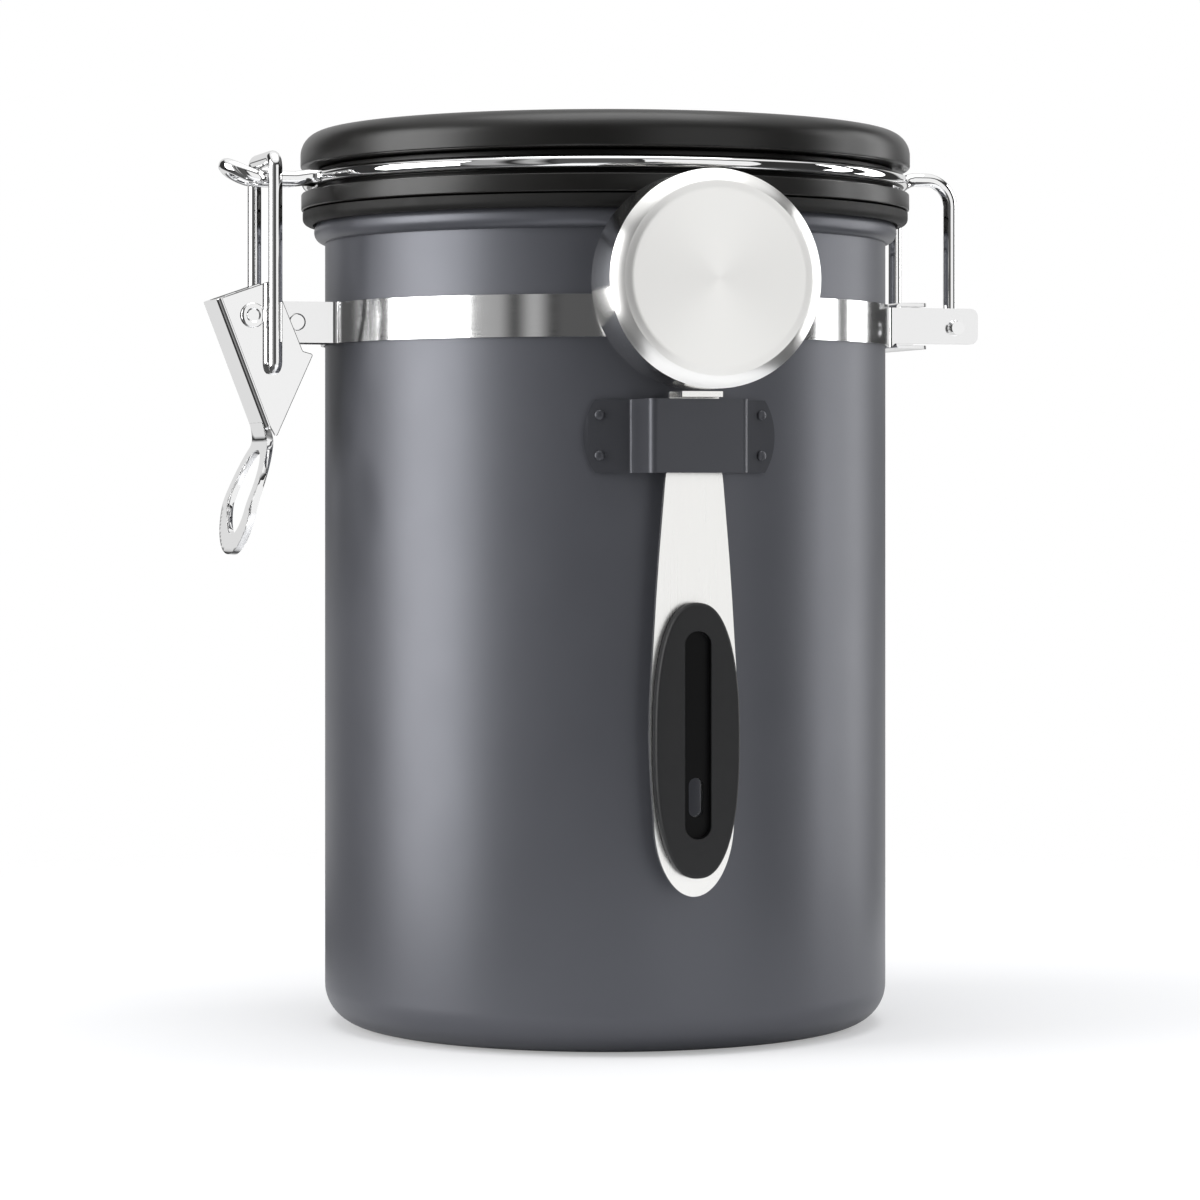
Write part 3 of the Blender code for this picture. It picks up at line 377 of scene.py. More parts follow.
def slate_paint(name, depth=1.0):
    """Satin slate powder coat: soft wander of tone, a faint orange peel; a depth below one gives a darker
    copy of the coat, painted shade.
    """
    tones = (0.100, 0.103, 0.117), (0.110, 0.113, 0.127)
    dark, light = [tuple(depth * c for c in tone) for tone in tones]
    made, tree, shader = finish(name, 0.5)
    tinted(tree, shader, noise(tree, 30, 3), dark, light)
    roughened(tree, shader, noise(tree, 90, 2), 0.36, 0.42)
    grained(tree, shader, noise(tree, 1500, 2), 0.00002, 0.35)
    return made


def lid_plastic():
    """Warm black moulded plastic with a fine grain."""
    made, tree, shader = finish("moulded_black", Specular_IOR_Level=0.42)
    tinted(tree, shader, noise(tree, 45, 2), (0.0056, 0.0052, 0.0046), (0.0076, 0.0071, 0.0063))
    roughened(tree, shader, noise(tree, 220, 3), 0.29, 0.37)
    grained(tree, shader, noise(tree, 4200, 2), 0.00002, 0.3)
    return made


def chrome():
    """Polished plating with faint handling marks."""
    made, tree, shader = finish("bright_plating", 1.0, Base_Color=(0.93, 0.93, 0.93, 1))
    roughened(tree, shader, noise(tree, 160, 3), 0.02, 0.045)
    grained(tree, shader, noise(tree, 350, 2), 0.00002, 0.05)
    return made


def cut_edge():
    """Sheet edge, rougher than the plating like a sheared edge; its dark colour is a painted dark
    reflection.
    """
    made, tree, shader = finish("rough_edge_painted_dark", 1.0)
    tinted(tree, shader, noise(tree, 700, 3), (0.08, 0.08, 0.08), (0.16, 0.16, 0.16))
    roughened(tree, shader, noise(tree, 900, 2), 0.22, 0.38)
    return made


def band_steel():
    """Polished strip with drawing lines along it."""
    made, tree, shader = finish("polished_strip", 1.0, Base_Color=(0.90, 0.90, 0.90, 1))
    lines = noise(tree, 60, 3, (1, 1, 90))
    roughened(tree, shader, lines, 0.08, 0.17)
    grained(tree, shader, lines, 0.00001, 0.15)
    return made


def brushed_steel():
    """Steel brushed along its length."""
    made, tree, shader = finish("brushed_handle", 1.0, Base_Color=(0.95, 0.945, 0.925, 1))
    lines = noise(tree, 60, 3, (60, 60, 1.0))
    roughened(tree, shader, lines, 0.22, 0.30)
    grained(tree, shader, lines, 0.000004, 0.12)
    return made


def turned_steel(name, low, high, streak=0.0):
    """Steel with turning marks about the bowl's axis; a streak draws highlights out across the marks."""
    made, tree, shader = finish(name, 1.0, Base_Color=(0.93, 0.925, 0.905, 1), Anisotropic=streak)
    centre = SCOOP_PLACE @ Vector((0, -SCOOP_R, BOWL_Z))
    marks = rings(tree, centre, HOLDER_TURN, 5000)
    roughened(tree, shader, marks, low, high)
    grained(tree, shader, marks, 0.000004, 0.15)
    if streak:
        place = link(tree, "ShaderNodeTexCoord").outputs["Object"]
        spoke = link(tree, "ShaderNodeVectorMath", {0: place, 1: centre}, operation="SUBTRACT")
        laid = link(
            tree, "ShaderNodeVectorTransform", {"Vector": spoke.outputs["Vector"]},
            vector_type="VECTOR", convert_from="OBJECT", convert_to="WORLD",
        )
        tree.links.new(laid.outputs["Vector"], shader.inputs["Tangent"])
    return made


def inner_steel():
    """The can's bare inside, spun marks round the wall."""
    made, tree, shader = finish("bare_inside", 1.0, Base_Color=(0.70, 0.70, 0.71, 1))
    lines = noise(tree, 40, 3, (1, 1, 120))
    roughened(tree, shader, lines, 0.26, 0.40)
    grained(tree, shader, lines, 0.00001, 0.3)
    return made


def rubber(name, colour, low, high, scale, shine):
    """Soft black moulding with a fine matt grain."""
    made, tree, shader = finish(name, Specular_IOR_Level=shine)
    light = tuple(1.35 * c for c in colour)
    tinted(tree, shader, noise(tree, 80, 2), colour, light)
    roughened(tree, shader, noise(tree, 400, 2), low, high)
    grained(tree, shader, noise(tree, scale, 2), 0.00003, 0.4)
    return made


def felt():
    """Pale pressed fibre."""
    made, tree, shader = finish("pressed_felt", Roughness=0.92)
    fibres = noise(tree, 1400, 5, (1, 1, 0.4))
    tinted(tree, shader, fibres, (0.62, 0.60, 0.54), (0.78, 0.76, 0.70))
    grained(tree, shader, fibres, 0.0002, 0.8)
    return made


def silicone():
    """Milky silicone."""
    made, tree, shader = finish("milky_silicone", Transmission_Weight=0.25)
    tinted(tree, shader, noise(tree, 120, 2), (0.68, 0.69, 0.69), (0.76, 0.77, 0.77))
    roughened(tree, shader, noise(tree, 500, 2), 0.34, 0.46)
    return made


def pale_print():
    """Printed figures, slightly worn."""
    made, tree, shader = finish("printed_figures")
    tinted(tree, shader, noise(tree, 900, 3), (0.60, 0.60, 0.58), (0.76, 0.76, 0.74))
    roughened(tree, shader, noise(tree, 300, 2), 0.48, 0.62)
    return made


# Can

def can(paint, inside):
    """The drawn can with its rolled rim, and its bare inside."""
    foot_r, inner_r, steps = 0.0082, 0.0076, 16
    roll_r, roll_half, lip = 0.0023, 0.0024, 0.0005
    wall, paint_end = CAN_R - CAN_WALL, RIM_TOP - 0.0012
    profile = [(0, 0)] + arc(CAN_R - foot_r, foot_r, foot_r, -90, 0, steps)
    profile += [(CAN_R, height) for height in (0.04, 0.09, RIM_TOP - 2 * roll_half)]
    profile += arc(CAN_R, RIM_TOP - roll_half, roll_r, -80, 90, steps, roll_half / roll_r)
    profile += arc(wall + lip, RIM_TOP - lip, lip, 90, 180, 4)
    profile += arc(wall - inner_r, foot_r, inner_r, 0, -90, 12) + [(0, CAN_WALL)]
    thing = piece("can", lathe(profile), [paint, inside], "canister", "can_body")
    for face in thing.data.polygons:
        middle, normal = face.center, face.normal
        inward = normal.x * middle.x + normal.y * middle.y < 0
        deep = middle.z < paint_end and math.hypot(middle.x, middle.y) < wall + EASE
        if deep and (inward or (normal.z > 0.2 and middle.z > CAN_WALL / 2)):
            face.material_index = 1


# Lid

def gasket(seal):
    """The seal on the rim, with a lip that hangs outside the roll."""
    inner, outer, corner, drop = 0.0518, 0.0637, 0.0014, 0.0013
    lip_in, step_in = CAN_R + 0.0026, CAN_R + 0.00184
    low, high = RIM_TOP + GAP, LID_Z - GAP
    lip = low - drop
    profile = [(inner, high)] + arc(outer - EASE, high - EASE, EASE, 90, 0, 3)
    profile += arc(outer - corner, lip + corner, corner, 0, -90, 8)
    profile += [(lip_in, lip), (step_in, low), (inner, low)]
    piece("rim_seal", lathe(profile), [seal], "lid", "lid_gasket")


def lid_pieces(plastic):
    """The lower moulding with its plug, plate and neck, and the rounded upper moulding."""
    hole, neck, rim = 0.00925, 0.0606, 0.0640
    neck_in, neck_top, plate_top = neck - 0.0020, COVER_Z - GAP, LID_Z + 0.0020
    plug_in, plug_out, plug_low = 0.0495, 0.0515, LID_Z - 0.0070
    profile = [
        (hole, LID_Z), (plug_in, LID_Z), (plug_in, plug_low), (plug_out, plug_low),
        (plug_out, LID_Z), (rim, LID_Z), (rim, FLANGE_Z), (neck, FLANGE_Z),
        (neck, neck_top), (neck_in, neck_top), (neck_in, plate_top), (hole, plate_top),
    ]
    piece("lid_lower", lathe(profile), [plastic], "lid", "lid_base", edge=0.0004, edge_steps=3)
    side, low_r, top_r = 0.06415, 0.0006, 0.0048
    day, day_ease, skirt = 0.0523, 0.0003, 0.0219
    pocket, under = LID_TOP - 0.0028, LID_TOP - 0.0048
    profile = [(neck_in, COVER_Z), (side - low_r, COVER_Z)]
    profile += arc(side - low_r, COVER_Z + low_r, low_r, -90, 0, 4)[1:]
    profile += arc(side - top_r, LID_TOP - top_r, top_r, 0, 90, 20)
    profile += [(day + day_ease, LID_TOP), (day, LID_TOP - day_ease), (day, pocket), (skirt, pocket)]
    profile += [(skirt, under), (neck_in, under)]
    piece("lid_upper", lathe(profile), [plastic], "lid", "lid_cover")


def dial(name, inner, outer, laps, node, body, plastic):
    """A date dial with its finger dimple; one that laps has a lip over the dial round it."""
    low, lap_t, lap, step_ease = 0.1839, 0.0009, 0.0020, 0.0005
    cup_r, cup_depth = 0.0055, 0.0009
    step_r, step_z = inner + lap, DIAL_TOP - lap_t - GAP
    profile = [(inner, low), (outer, low), (outer, DIAL_TOP - EASE), (outer - EASE, DIAL_TOP)]
    if laps:
        lip, under = outer + lap, DIAL_TOP - lap_t
        profile[2:] = [(outer, under), (lip, under), (lip, DIAL_TOP - EASE), (lip - EASE, DIAL_TOP)]
    profile += [(step_r + step_ease, DIAL_TOP), (step_r + GAP, DIAL_TOP - EASE)]
    profile += [(step_r + GAP, step_z), (inner, step_z)]
    thing = piece(name, lathe(profile))
    middle = (step_r + outer) / 2
    cup = bmesh.new()
    bmesh.ops.create_uvsphere(cup, u_segments=40, v_segments=24, radius=cup_r)
    bmesh.ops.translate(cup, verts=cup.verts, vec=(0, -middle, DIAL_TOP + cup_r - cup_depth))
    carve(thing, piece(name + "_cup", cup))
    dress(thing, [plastic], body, node)


def figures(name, count, radius, size, body, ink):
    """Plain numbers round a dial, their feet toward the middle."""
    half_t, lift = 0.00004, 0.00005
    first = math.radians(-90 + 180 / count)
    whole = bmesh.new()
    for number in range(1, count + 1):
        words = bpy.data.curves.new(name, "FONT")
        words.body, words.size, words.resolution_u = str(number), size, 3
        words.align_x, words.align_y, words.extrude = "CENTER", "CENTER", half_t
        drawn = placed(name, words)
        mesh = final_mesh(drawn)
        bpy.data.objects.remove(drawn, do_unlink=True)
        turn = first - math.tau * (number - 1) / count
        spot = Vector((radius * math.cos(turn), radius * math.sin(turn), DIAL_TOP + lift))
        mesh.transform(Matrix.Translation(spot) @ Matrix.Rotation(turn - math.pi / 2, 4, "Z"))
        whole.from_mesh(mesh)
        bpy.data.meshes.remove(mesh)
    piece(name, whole, [ink], body, "none", angle=30)


def pointer(ink):
    """The mark on the lid that the dials are read against."""
    depth, half, tail, tip = 0.00006, 0.0014, -0.0562, -0.0535
    top = LID_TOP - depth
    outline = [Vector((-half, tail, top)), Vector((half, tail, top)), Vector((0, tip, top))]
    piece("date_mark", prism(outline, (0, 0, depth)), [ink], "lid", "none", angle=30)


def vent(plastic):
    """The vent cap with its groove, its skirt and its six holes."""
    low, edge_r, edge_ease, skirt = 0.1851, 0.0242, 0.0004, 0.0216
    skirt_in, skirt_low = skirt - 0.0017, low - 0.0047
    groove_out, groove_in, groove = 0.0170, 0.0158, LID_TOP - 0.0003
    count, circle, hole_r, drill_depth = 6, 0.0120, 0.0012, 0.008
    profile = [
        (0, low), (skirt_in, low), (skirt_in, skirt_low), (skirt, skirt_low),
        (skirt, low), (edge_r, low), (edge_r, LID_TOP - edge_ease), (edge_r - edge_ease, LID_TOP),
        (groove_out, LID_TOP), (groove_out - EASE, groove), (groove_in + EASE, groove),
        (groove_in, LID_TOP), (0, LID_TOP),
    ]
    thing = piece("vent_lid", lathe(profile, 120))
    drills = bmesh.new()
    for number in range(count):
        turn = math.tau * number / count
        spot = Matrix.Translation((circle * math.cos(turn), circle * math.sin(turn), low))
        drill(drills, hole_r, drill_depth, 32, spot)
    carve(thing, piece("vent_drills", drills))
    dress(thing, [plastic], "lid", "vent_cap")


# Band and hinge

def band_path(side):
    """Plan of a half band at mid thickness, with a crease where each flat ear begins."""
    bend, crease = 0.0016, 0.0001
    latch_end, hinge_end = LEVER_AXIS.x - 0.0026, HINGE_AXIS.x + 0.0053
    latch_x, latch_turn = meeting(BAND_R, LATCH_EAR_W, bend)
    hinge_x, hinge_turn = meeting(BAND_R, HINGE_EAR_W, bend)
    path = [(latch_end, -LATCH_EAR_W), (-latch_x - crease, -LATCH_EAR_W)]
    path += arc(-latch_x, -LATCH_EAR_W - bend, bend, 90, latch_turn, 10)
    path += arc(0, 0, BAND_R, 180 + latch_turn, 360 - hinge_turn, 90)[1:-1]
    path += arc(hinge_x, -HINGE_EAR_W - bend, bend, 180 - hinge_turn, 90, 10)
    path += [(hinge_x + crease, -HINGE_EAR_W), (hinge_end, -HINGE_EAR_W)]
    return [(x, y * side) for x, y in path]


def band(name, side, node, steel):
    """A half of the clamp band, its ears drilled for the bail and for the pin."""
    ease, corner, step = 0.00012, 0.0017, 0.0004
    drill_depth, bail_hole, pin_hole = 0.004, 0.0017, 0.00178
    path = band_path(side)
    marks = lengths(path)
    end, ear, top = marks[-1], marks[-2], BAND_H - corner
    outline = arc(corner, corner, corner, 180, 270, 8)
    outline += [(ear - step, 0), (ear + step, EAR_RISE)]
    outline += arc(end - corner, EAR_RISE + corner, corner, 270, 360, 8)
    outline += arc(end - corner, top, corner, 0, 90, 8)
    outline += arc(corner, top, corner, 90, 180, 8)

    def lay(distance, height):
        x, y = along(path, marks, distance)
        return Vector((x, y, BAND_Z + height))

    half = piece(name, sheet([outline], marks[1:-1], lay), sheet_t=BAND_T, edge=ease)
    for x, radius, ear_w in ((HINGE_AXIS.x, bail_hole, HINGE_EAR_W), (PIN_X, pin_hole, LATCH_EAR_W)):
        cutter = bmesh.new()
        drill(cutter, radius, drill_depth, 40, Matrix.Translation((x, -side * ear_w, HINGE_AXIS.z)) @ LAID)
        carve(half, piece(name + "_drill", cutter))
    dress(half, [steel], "canister", node)


def hinge_channel(steel):
    """The folded channel between the hinge ears."""
    half, thick, ease, bend, corner = 0.0170, 0.0008, 0.00012, 0.0006, 0.0008
    web, reach = CAN_R + GAP + thick / 2, CAN_R + 0.0074
    low, high = BAND_Z + EAR_RISE - GAP - thick / 2, BAND_Z + BAND_H + GAP + thick / 2
    path = rounded_path([(reach, low), (web, low), (web, high), (reach, high)], bend, 6)
    marks = lengths(path)
    near, far, side = corner, marks[-1] - corner, half - corner
    outline = []
    for u, v, start in ((near, -side, 180), (far, -side, 270), (far, side, 0), (near, side, 90)):
        outline += arc(u, v, corner, start, start + 90, 4)

    def lay(distance, across):
        x, z = along(path, marks, distance)
        return Vector((x, across, z))

    piece(
        "channel", sheet([outline], marks[1:-1], lay), [steel], "canister", "hinge_channel",
        sheet_t=thick, edge=ease,
    )


def pins(steel):
    """The flush band pin and the lever's domed rivet."""
    half, pin_r, pin_ease, steps = 0.00544, 0.00165, 0.00015, 48
    shape = lathe([(0, -half), (pin_r, -half), (pin_r, half), (0, half)], steps)
    place = Matrix.Translation((PIN_X, 0, BAND_Z + BAND_H / 2))
    bmesh.ops.transform(shape, matrix=place @ LAID, verts=shape.verts)
    piece("flush_pin", shape, [steel], "canister", "band_pin", edge=pin_ease)
    shank, under, head_r, dome_r, flat_r = 0.0014, 0.00685, 0.00255, 0.0003, 0.0012
    top = under + 0.0005
    head = [(shank, under), (head_r, under)]
    head += arc(head_r - dome_r, under + EASE, dome_r, -20, 80, 6)
    head += [(flat_r + dome_r, top), (flat_r, top - EASE), (0, top - EASE)]
    profile = [(radius, -height) for radius, height in reversed(head)] + head
    shape = lathe(profile, steps)
    bmesh.ops.transform(shape, matrix=Matrix.Translation(LEVER_AXIS) @ LAID, verts=shape.verts)
    piece("lever_rivet", shape, [steel], "canister", "fulcrum_rivet")


# Wires

def bail_route():
    """Hinge foot, leg, round the lid's neck, hooked tip and back."""
    foot_w, leg_w, tip_w = 0.0197, 0.0152, 0.0040
    bend, foot_bend, knee_bend, landing = 0.0030, 0.0019, 0.0055, 0.0010
    rise, dip, dip_run = 0.0015, 0.0005, 0.0030
    tip_out, tip_ramp, tip_rise = 0.08185, 0.00635, 0.0026
    leg_x, leg_turn = meeting(BAIL_R, leg_w, bend)
    tip_x, tip_turn = meeting(BAIL_R, tip_w, bend)
    ramp_start, ramp_end = BAIL_R * leg_x / (BAIL_R + bend), leg_x + landing

    def flat(point):
        share = min(max((point[0] - ramp_start) / (ramp_end - ramp_start), 0), 1)
        return Vector((point[0], point[1], BAIL_Z + rise * share * share * (3 - 2 * share)))

    def lifted(x, y):
        up = max(-x - (tip_out - tip_ramp), 0) / tip_ramp
        down = min(max((-x - tip_x) / dip_run, 0), 1)
        return Vector((x, y, BAIL_Z - dip * down + tip_rise * up ** 1.5))

    foot_end = Vector((HINGE_AXIS.x, -foot_w, HINGE_AXIS.z))
    foot = Vector((HINGE_AXIS.x, -leg_w, HINGE_AXIS.z))
    knee = Vector((HINGE_AXIS.x, -leg_w, BAIL_Z + rise))
    landed = flat((ramp_end, -leg_w))
    route = [foot_end] + fillet(foot_end, foot, knee, foot_bend)
    route += fillet(foot, knee, landed, knee_bend, 14) + [landed]
    route += [flat(p) for p in arc(leg_x, -leg_w - bend, bend, 90, 180 - leg_turn, 10)]
    route += [flat(p) for p in arc(0, 0, BAIL_R, -leg_turn, tip_turn - 180, 110)[1:-1]]
    route += [flat(p) for p in arc(-tip_x, -tip_w - bend, bend, tip_turn, 90, 10)]
    end = tip_out - tip_w
    route += [lifted(-(tip_x + (end - tip_x) * i / 12), -tip_w) for i in range(1, 12)]
    route += [lifted(x, y) for x, y in arc(-end, 0, tip_w, -90, -180, 12)]
    return route + [Vector((p.x, -p.y, p.z)) for p in reversed(route[:-1])]


def loop_route():
    """Inturned foot, leg, bar, leg, foot."""
    foot_w, width, bar, foot_bend, bar_bend = 0.0056, 0.00905, 0.1793, 0.0015, 0.0026
    x = LOOP_AXIS.x
    end, foot = Vector((x, -foot_w, LOOP_AXIS.z)), Vector((x, -width, LOOP_AXIS.z))
    shoulder, middle = Vector((x, -width, bar)), Vector((x, 0, bar))
    route = [end] + fillet(end, foot, shoulder, foot_bend) + fillet(foot, shoulder, middle, bar_bend, 14)
    return route + [Vector((p.x, -p.y, p.z)) for p in reversed(route)]


# Latch lever

SPINE_TOP = (0.0847, 0.1504)
SPINE_FOOT = (0.0746, 0.1243)
RING_BEND = (0.0740, 0.1213)
RING_MID = (0.0789, 0.1089)
RING_END = (0.0809, 0.0983)
LEVER_IN = 0.0057
LEVER_W = 0.0066


def spine_out(height):
    """How far out the lever's sheet stands at a height, its bends rounded."""
    line = [RING_END, RING_MID, RING_BEND, SPINE_FOOT, SPINE_TOP]
    reach, count, total = 0.0012, 9, 0
    for i in range(count):
        z = height + reach * (2 * i / (count - 1) - 1)
        z = min(max(z, line[0][1]), line[-1][1])
        for a, b in zip(line, line[1:]):
            if z <= b[1]:
                total += a[0] + (b[0] - a[0]) * (z - a[1]) / (b[1] - a[1])
                break
    return total / count


def lever(steel, dark_edge_finish):
    """Two cheeks, the spine folded over from them, and the finger ring; the cheeks' edges take a finish
    painted dark, a painted dark reflection.
    """
    ring_t, ring_ease, half, low, high = 0.0013, 0.00035, 0.0129, 0.0096, 0.0150
    hole_rise, hole_half, hole_tall = 0.0030, 0.0084, 0.0086
    shoulder, top, neck_in = RING_BEND[1] + 0.0004, SPINE_FOOT[1] + 0.0012, LEVER_W - 0.0014
    centre = RING_END[1] + low
    neck = [(z, y) for y, z in arc(0, centre, half, 125, 180, 10, high / half)[:-1]]
    neck += [(z, y) for y, z in arc(0, centre, half, 180, 360, 40, low / half)[:-1]]
    neck += [(z, y) for y, z in arc(0, centre, half, 0, 55, 10, high / half)]
    neck += [(shoulder, LEVER_W), (top, neck_in), (top, -neck_in), (shoulder, -LEVER_W)]
    oval = arc(0, centre + hole_rise, hole_half, 0, 360, 56, hole_tall / hole_half)[:-1]
    stations = [0.0990 + 0.0008 * i for i in range(34)]
    ring = sheet([neck, [(z, y) for y, z in oval]], stations, lambda z, y: Vector((-spine_out(z), y, z)))
    whole = piece("lever_ring", ring, sheet_t=ring_t, edge=ring_ease, edge_steps=3)
    slope = Vector((SPINE_TOP[0] - SPINE_FOOT[0], 0, SPINE_TOP[1] - SPINE_FOOT[1])).normalized()
    out = Vector((slope.z, 0, -slope.x))
    fold_t, fold_ease, bend, crease = 0.0008, 0.0001, 0.0005, 0.00005
    rise, flange, mid_w = 0.00015, -0.0016, LEVER_W - 0.00043
    side = [(mid_w - bend - crease, rise)] + arc(mid_w - bend, rise - bend, bend, 90, 0, 8)
    side += [(mid_w, rise - bend - crease), (mid_w, flange)]
    across = [(-y, lift) for y, lift in reversed(side)] + side
    marks = lengths(across)
    run = math.dist(SPINE_TOP, SPINE_FOOT)
    box = [(0, 0), (marks[-1], 0), (marks[-1], run), (0, run)]

    def lay(distance, height):
        y, lift = along(across, marks, distance)
        place = Vector((SPINE_FOOT[0], 0, SPINE_FOOT[1])) + slope * height + out * lift
        return Vector((-place.x, y, place.z))

    fold = sheet([box], marks[1:-1], lay)
    pieces = [whole, piece("lever_fold", fold, sheet_t=fold_t, edge=fold_ease)]
    inset, cheek_ease, cheek_corner, dark_edge_depth = out * -0.0004, 0.00015, 0.0004, 0.0010
    corners = [(0.0733, 0.1544), (0.0673, 0.1399), (0.0651, 0.1393), (0.0729, 0.1221)]
    foot = (SPINE_FOOT[0] + inset.x, SPINE_FOOT[1] + inset.z)
    head = (SPINE_TOP[0] + inset.x, SPINE_TOP[1] + inset.z)
    outline = rounded_loop([head] + corners + [foot], cheek_corner, 4)
    for side in (-1, 1):
        points = [Vector((-o, side * LEVER_IN, z)) for o, z in outline]
        cheek = prism(points, (0, side * (LEVER_W - LEVER_IN), 0))
        pieces.append(piece("lever_cheek", cheek, edge=cheek_ease))
    thing = joined(pieces, "lever", [steel, dark_edge_finish], "lever", "latch_lever")
    slack = GAP / 3
    # Cheek edge faces away from the spine take the dark finish: a painted dark reflection.
    for face in thing.data.polygons:
        middle = face.center
        depth = Vector((-middle.x - SPINE_FOOT[0], 0, middle.z - SPINE_FOOT[1])).dot(out)
        in_cheek = LEVER_IN - slack < abs(middle.y) < LEVER_W + slack
        face.material_index = int(abs(face.normal.y) < 0.95 and in_cheek and depth < -dark_edge_depth)


def joined(pieces, name, finishes, body, node):
    """Several shells made one piece."""
    whole = bmesh.new()
    for thing in pieces:
        whole.from_mesh(thing.data)
        bpy.data.objects.remove(thing, do_unlink=True)
    return piece(name, whole, finishes, body, node)


# Scoop holder and scoop

def holder(paint):
    """The painted holder: two tabs and the channel."""
    ease, bend, end_r, tab_turn = 0.00018, 0.0012, 0.0123, 19.1
    mid_r, reach, channel_w = CAN_R + GAP + HOLDER_T / 2, 0.0122, 0.0101
    face, half = CAN_R + reach - HOLDER_T / 2, channel_w - HOLDER_T / 2
    root = half + 0.0004
    root_y, root_turn = meeting(mid_r, root, bend)
    path = arc(0, 0, mid_r, -90 + tab_turn, -90 + root_turn, 10)[:-1]
    path += arc(root + bend, -root_y, bend, 90 + root_turn, 180, 8)
    path += arc(half - bend, -face + bend, bend, 0, -90, 8)
    path += [(-x, y) for x, y in reversed(path)]
    marks = lengths(path)
    swing = math.degrees(math.asin(HOLDER_H / 2 / end_r))
    outline = arc(end_r, HOLDER_H / 2, end_r, 180 - swing, 180 + swing, 20)
    outline += arc(marks[-1] - end_r, HOLDER_H / 2, end_r, -swing, swing, 20)

    def lay(distance, height):
        x, y = along(path, marks, distance)
        return SCOOP_PLACE @ Vector((x, y, HOLDER_Z + height))

    piece(
        "scoop_bracket", sheet([outline], marks[1:-1], lay), [paint], "canister", "scoop_holder",
        sheet_t=HOLDER_T, edge=ease,
    )


def rivets(paint):
    """Four small rivets, domed outside and with a low cone inside."""
    spill, head, point, height, shank, turned = 0.00025, 0.0010, 0.0007, 0.0004, 0.0006, 16.0
    inner, outer = CAN_R - CAN_WALL - spill, CAN_R + GAP + HOLDER_T + spill
    profile = [(0, inner - height), (point, inner - height), (head, inner), (shank, inner)]
    profile += [(shank, outer)] + arc(0, outer, head, 0, 90, 8, height / head)
    number = 0
    for side in (-1, 1):
        for rise in (0.0034, 0.0114):
            number += 1
            shape = lathe(profile, 32)
            lay = Matrix.Rotation(HOLDER_TURN + side * math.radians(turned), 4, "Z") @ LAID
            place = Matrix.Translation((0, 0, HOLDER_Z + rise)) @ lay
            bmesh.ops.transform(shape, matrix=place, verts=shape.verts)
            node = f"holder_rivet_{number}"
            piece(f"bracket_rivet_{number}", shape, [paint], "canister", node)


def bowl(face_steel, side_steel):
    """The round bowl: outer face in a shallow dish, crowned rim, open toward the can."""
    out, depth, wall, floor_r, lip = 0.0845, 0.0160, 0.0008, 0.0022, 0.0004
    crown, drop, low_turn, high_turn = 0.0074, 0.0003, 40, 62
    dish = ((0.0181, 0.00021), (0.0175, 0.00008), (0.0170, 0), (0.0168, 0), (0, 0))
    crown_r = BOWL_R - EASE - crown * math.cos(math.radians(low_turn))
    crown_z = out - drop - crown * math.sin(math.radians(high_turn))
    side_end = crown_z + crown * math.sin(math.radians(low_turn)) - EASE
    back, inner_r = out - depth, BOWL_R - wall
    profile = [(inner_r, back)] + arc(inner_r + lip, back, lip, 180, 360, 12)[1:] + [(BOWL_R, side_end)]
    profile += arc(crown_r, crown_z, crown, low_turn, high_turn, 10)
    profile += [(radius, out - sunk) for radius, sunk in dish] + [(0, out - wall)]
    profile += arc(inner_r - floor_r, out - wall - floor_r, floor_r, 90, 0, 8)
    shape = lathe(profile, 144)
    place = SCOOP_PLACE @ Matrix.Translation((0, 0, BOWL_Z)) @ LAID
    bmesh.ops.transform(shape, matrix=place, verts=shape.verts)
    thing = piece("bowl", shape, [face_steel, side_steel], "scoop", "scoop_bowl")
    facing = SCOOP_PLACE @ Vector((0, 1, 0))
    for face in thing.data.polygons:
        face.material_index = int(abs(face.normal.dot(facing)) < 0.2)


def plate(outline, back, depth):
    """A flat piece of the scoop, from (x, z) points."""
    shape = prism([Vector((x, -back, z)) for x, z in outline], (0, -depth, 0))
    bmesh.ops.transform(shape, matrix=SCOOP_PLACE, verts=shape.verts)
    return shape


def slot_outline(half, low, length):
    """An upright slot with round ends."""
    high = low + length
    return arc(0, high - half, half, 0, 180, 16) + arc(0, low + half, half, 180, 360, 16)


def full(share):
    """Pushes an ellipse's ends outward a little."""
    return math.copysign(abs(share) ** 0.833, share)


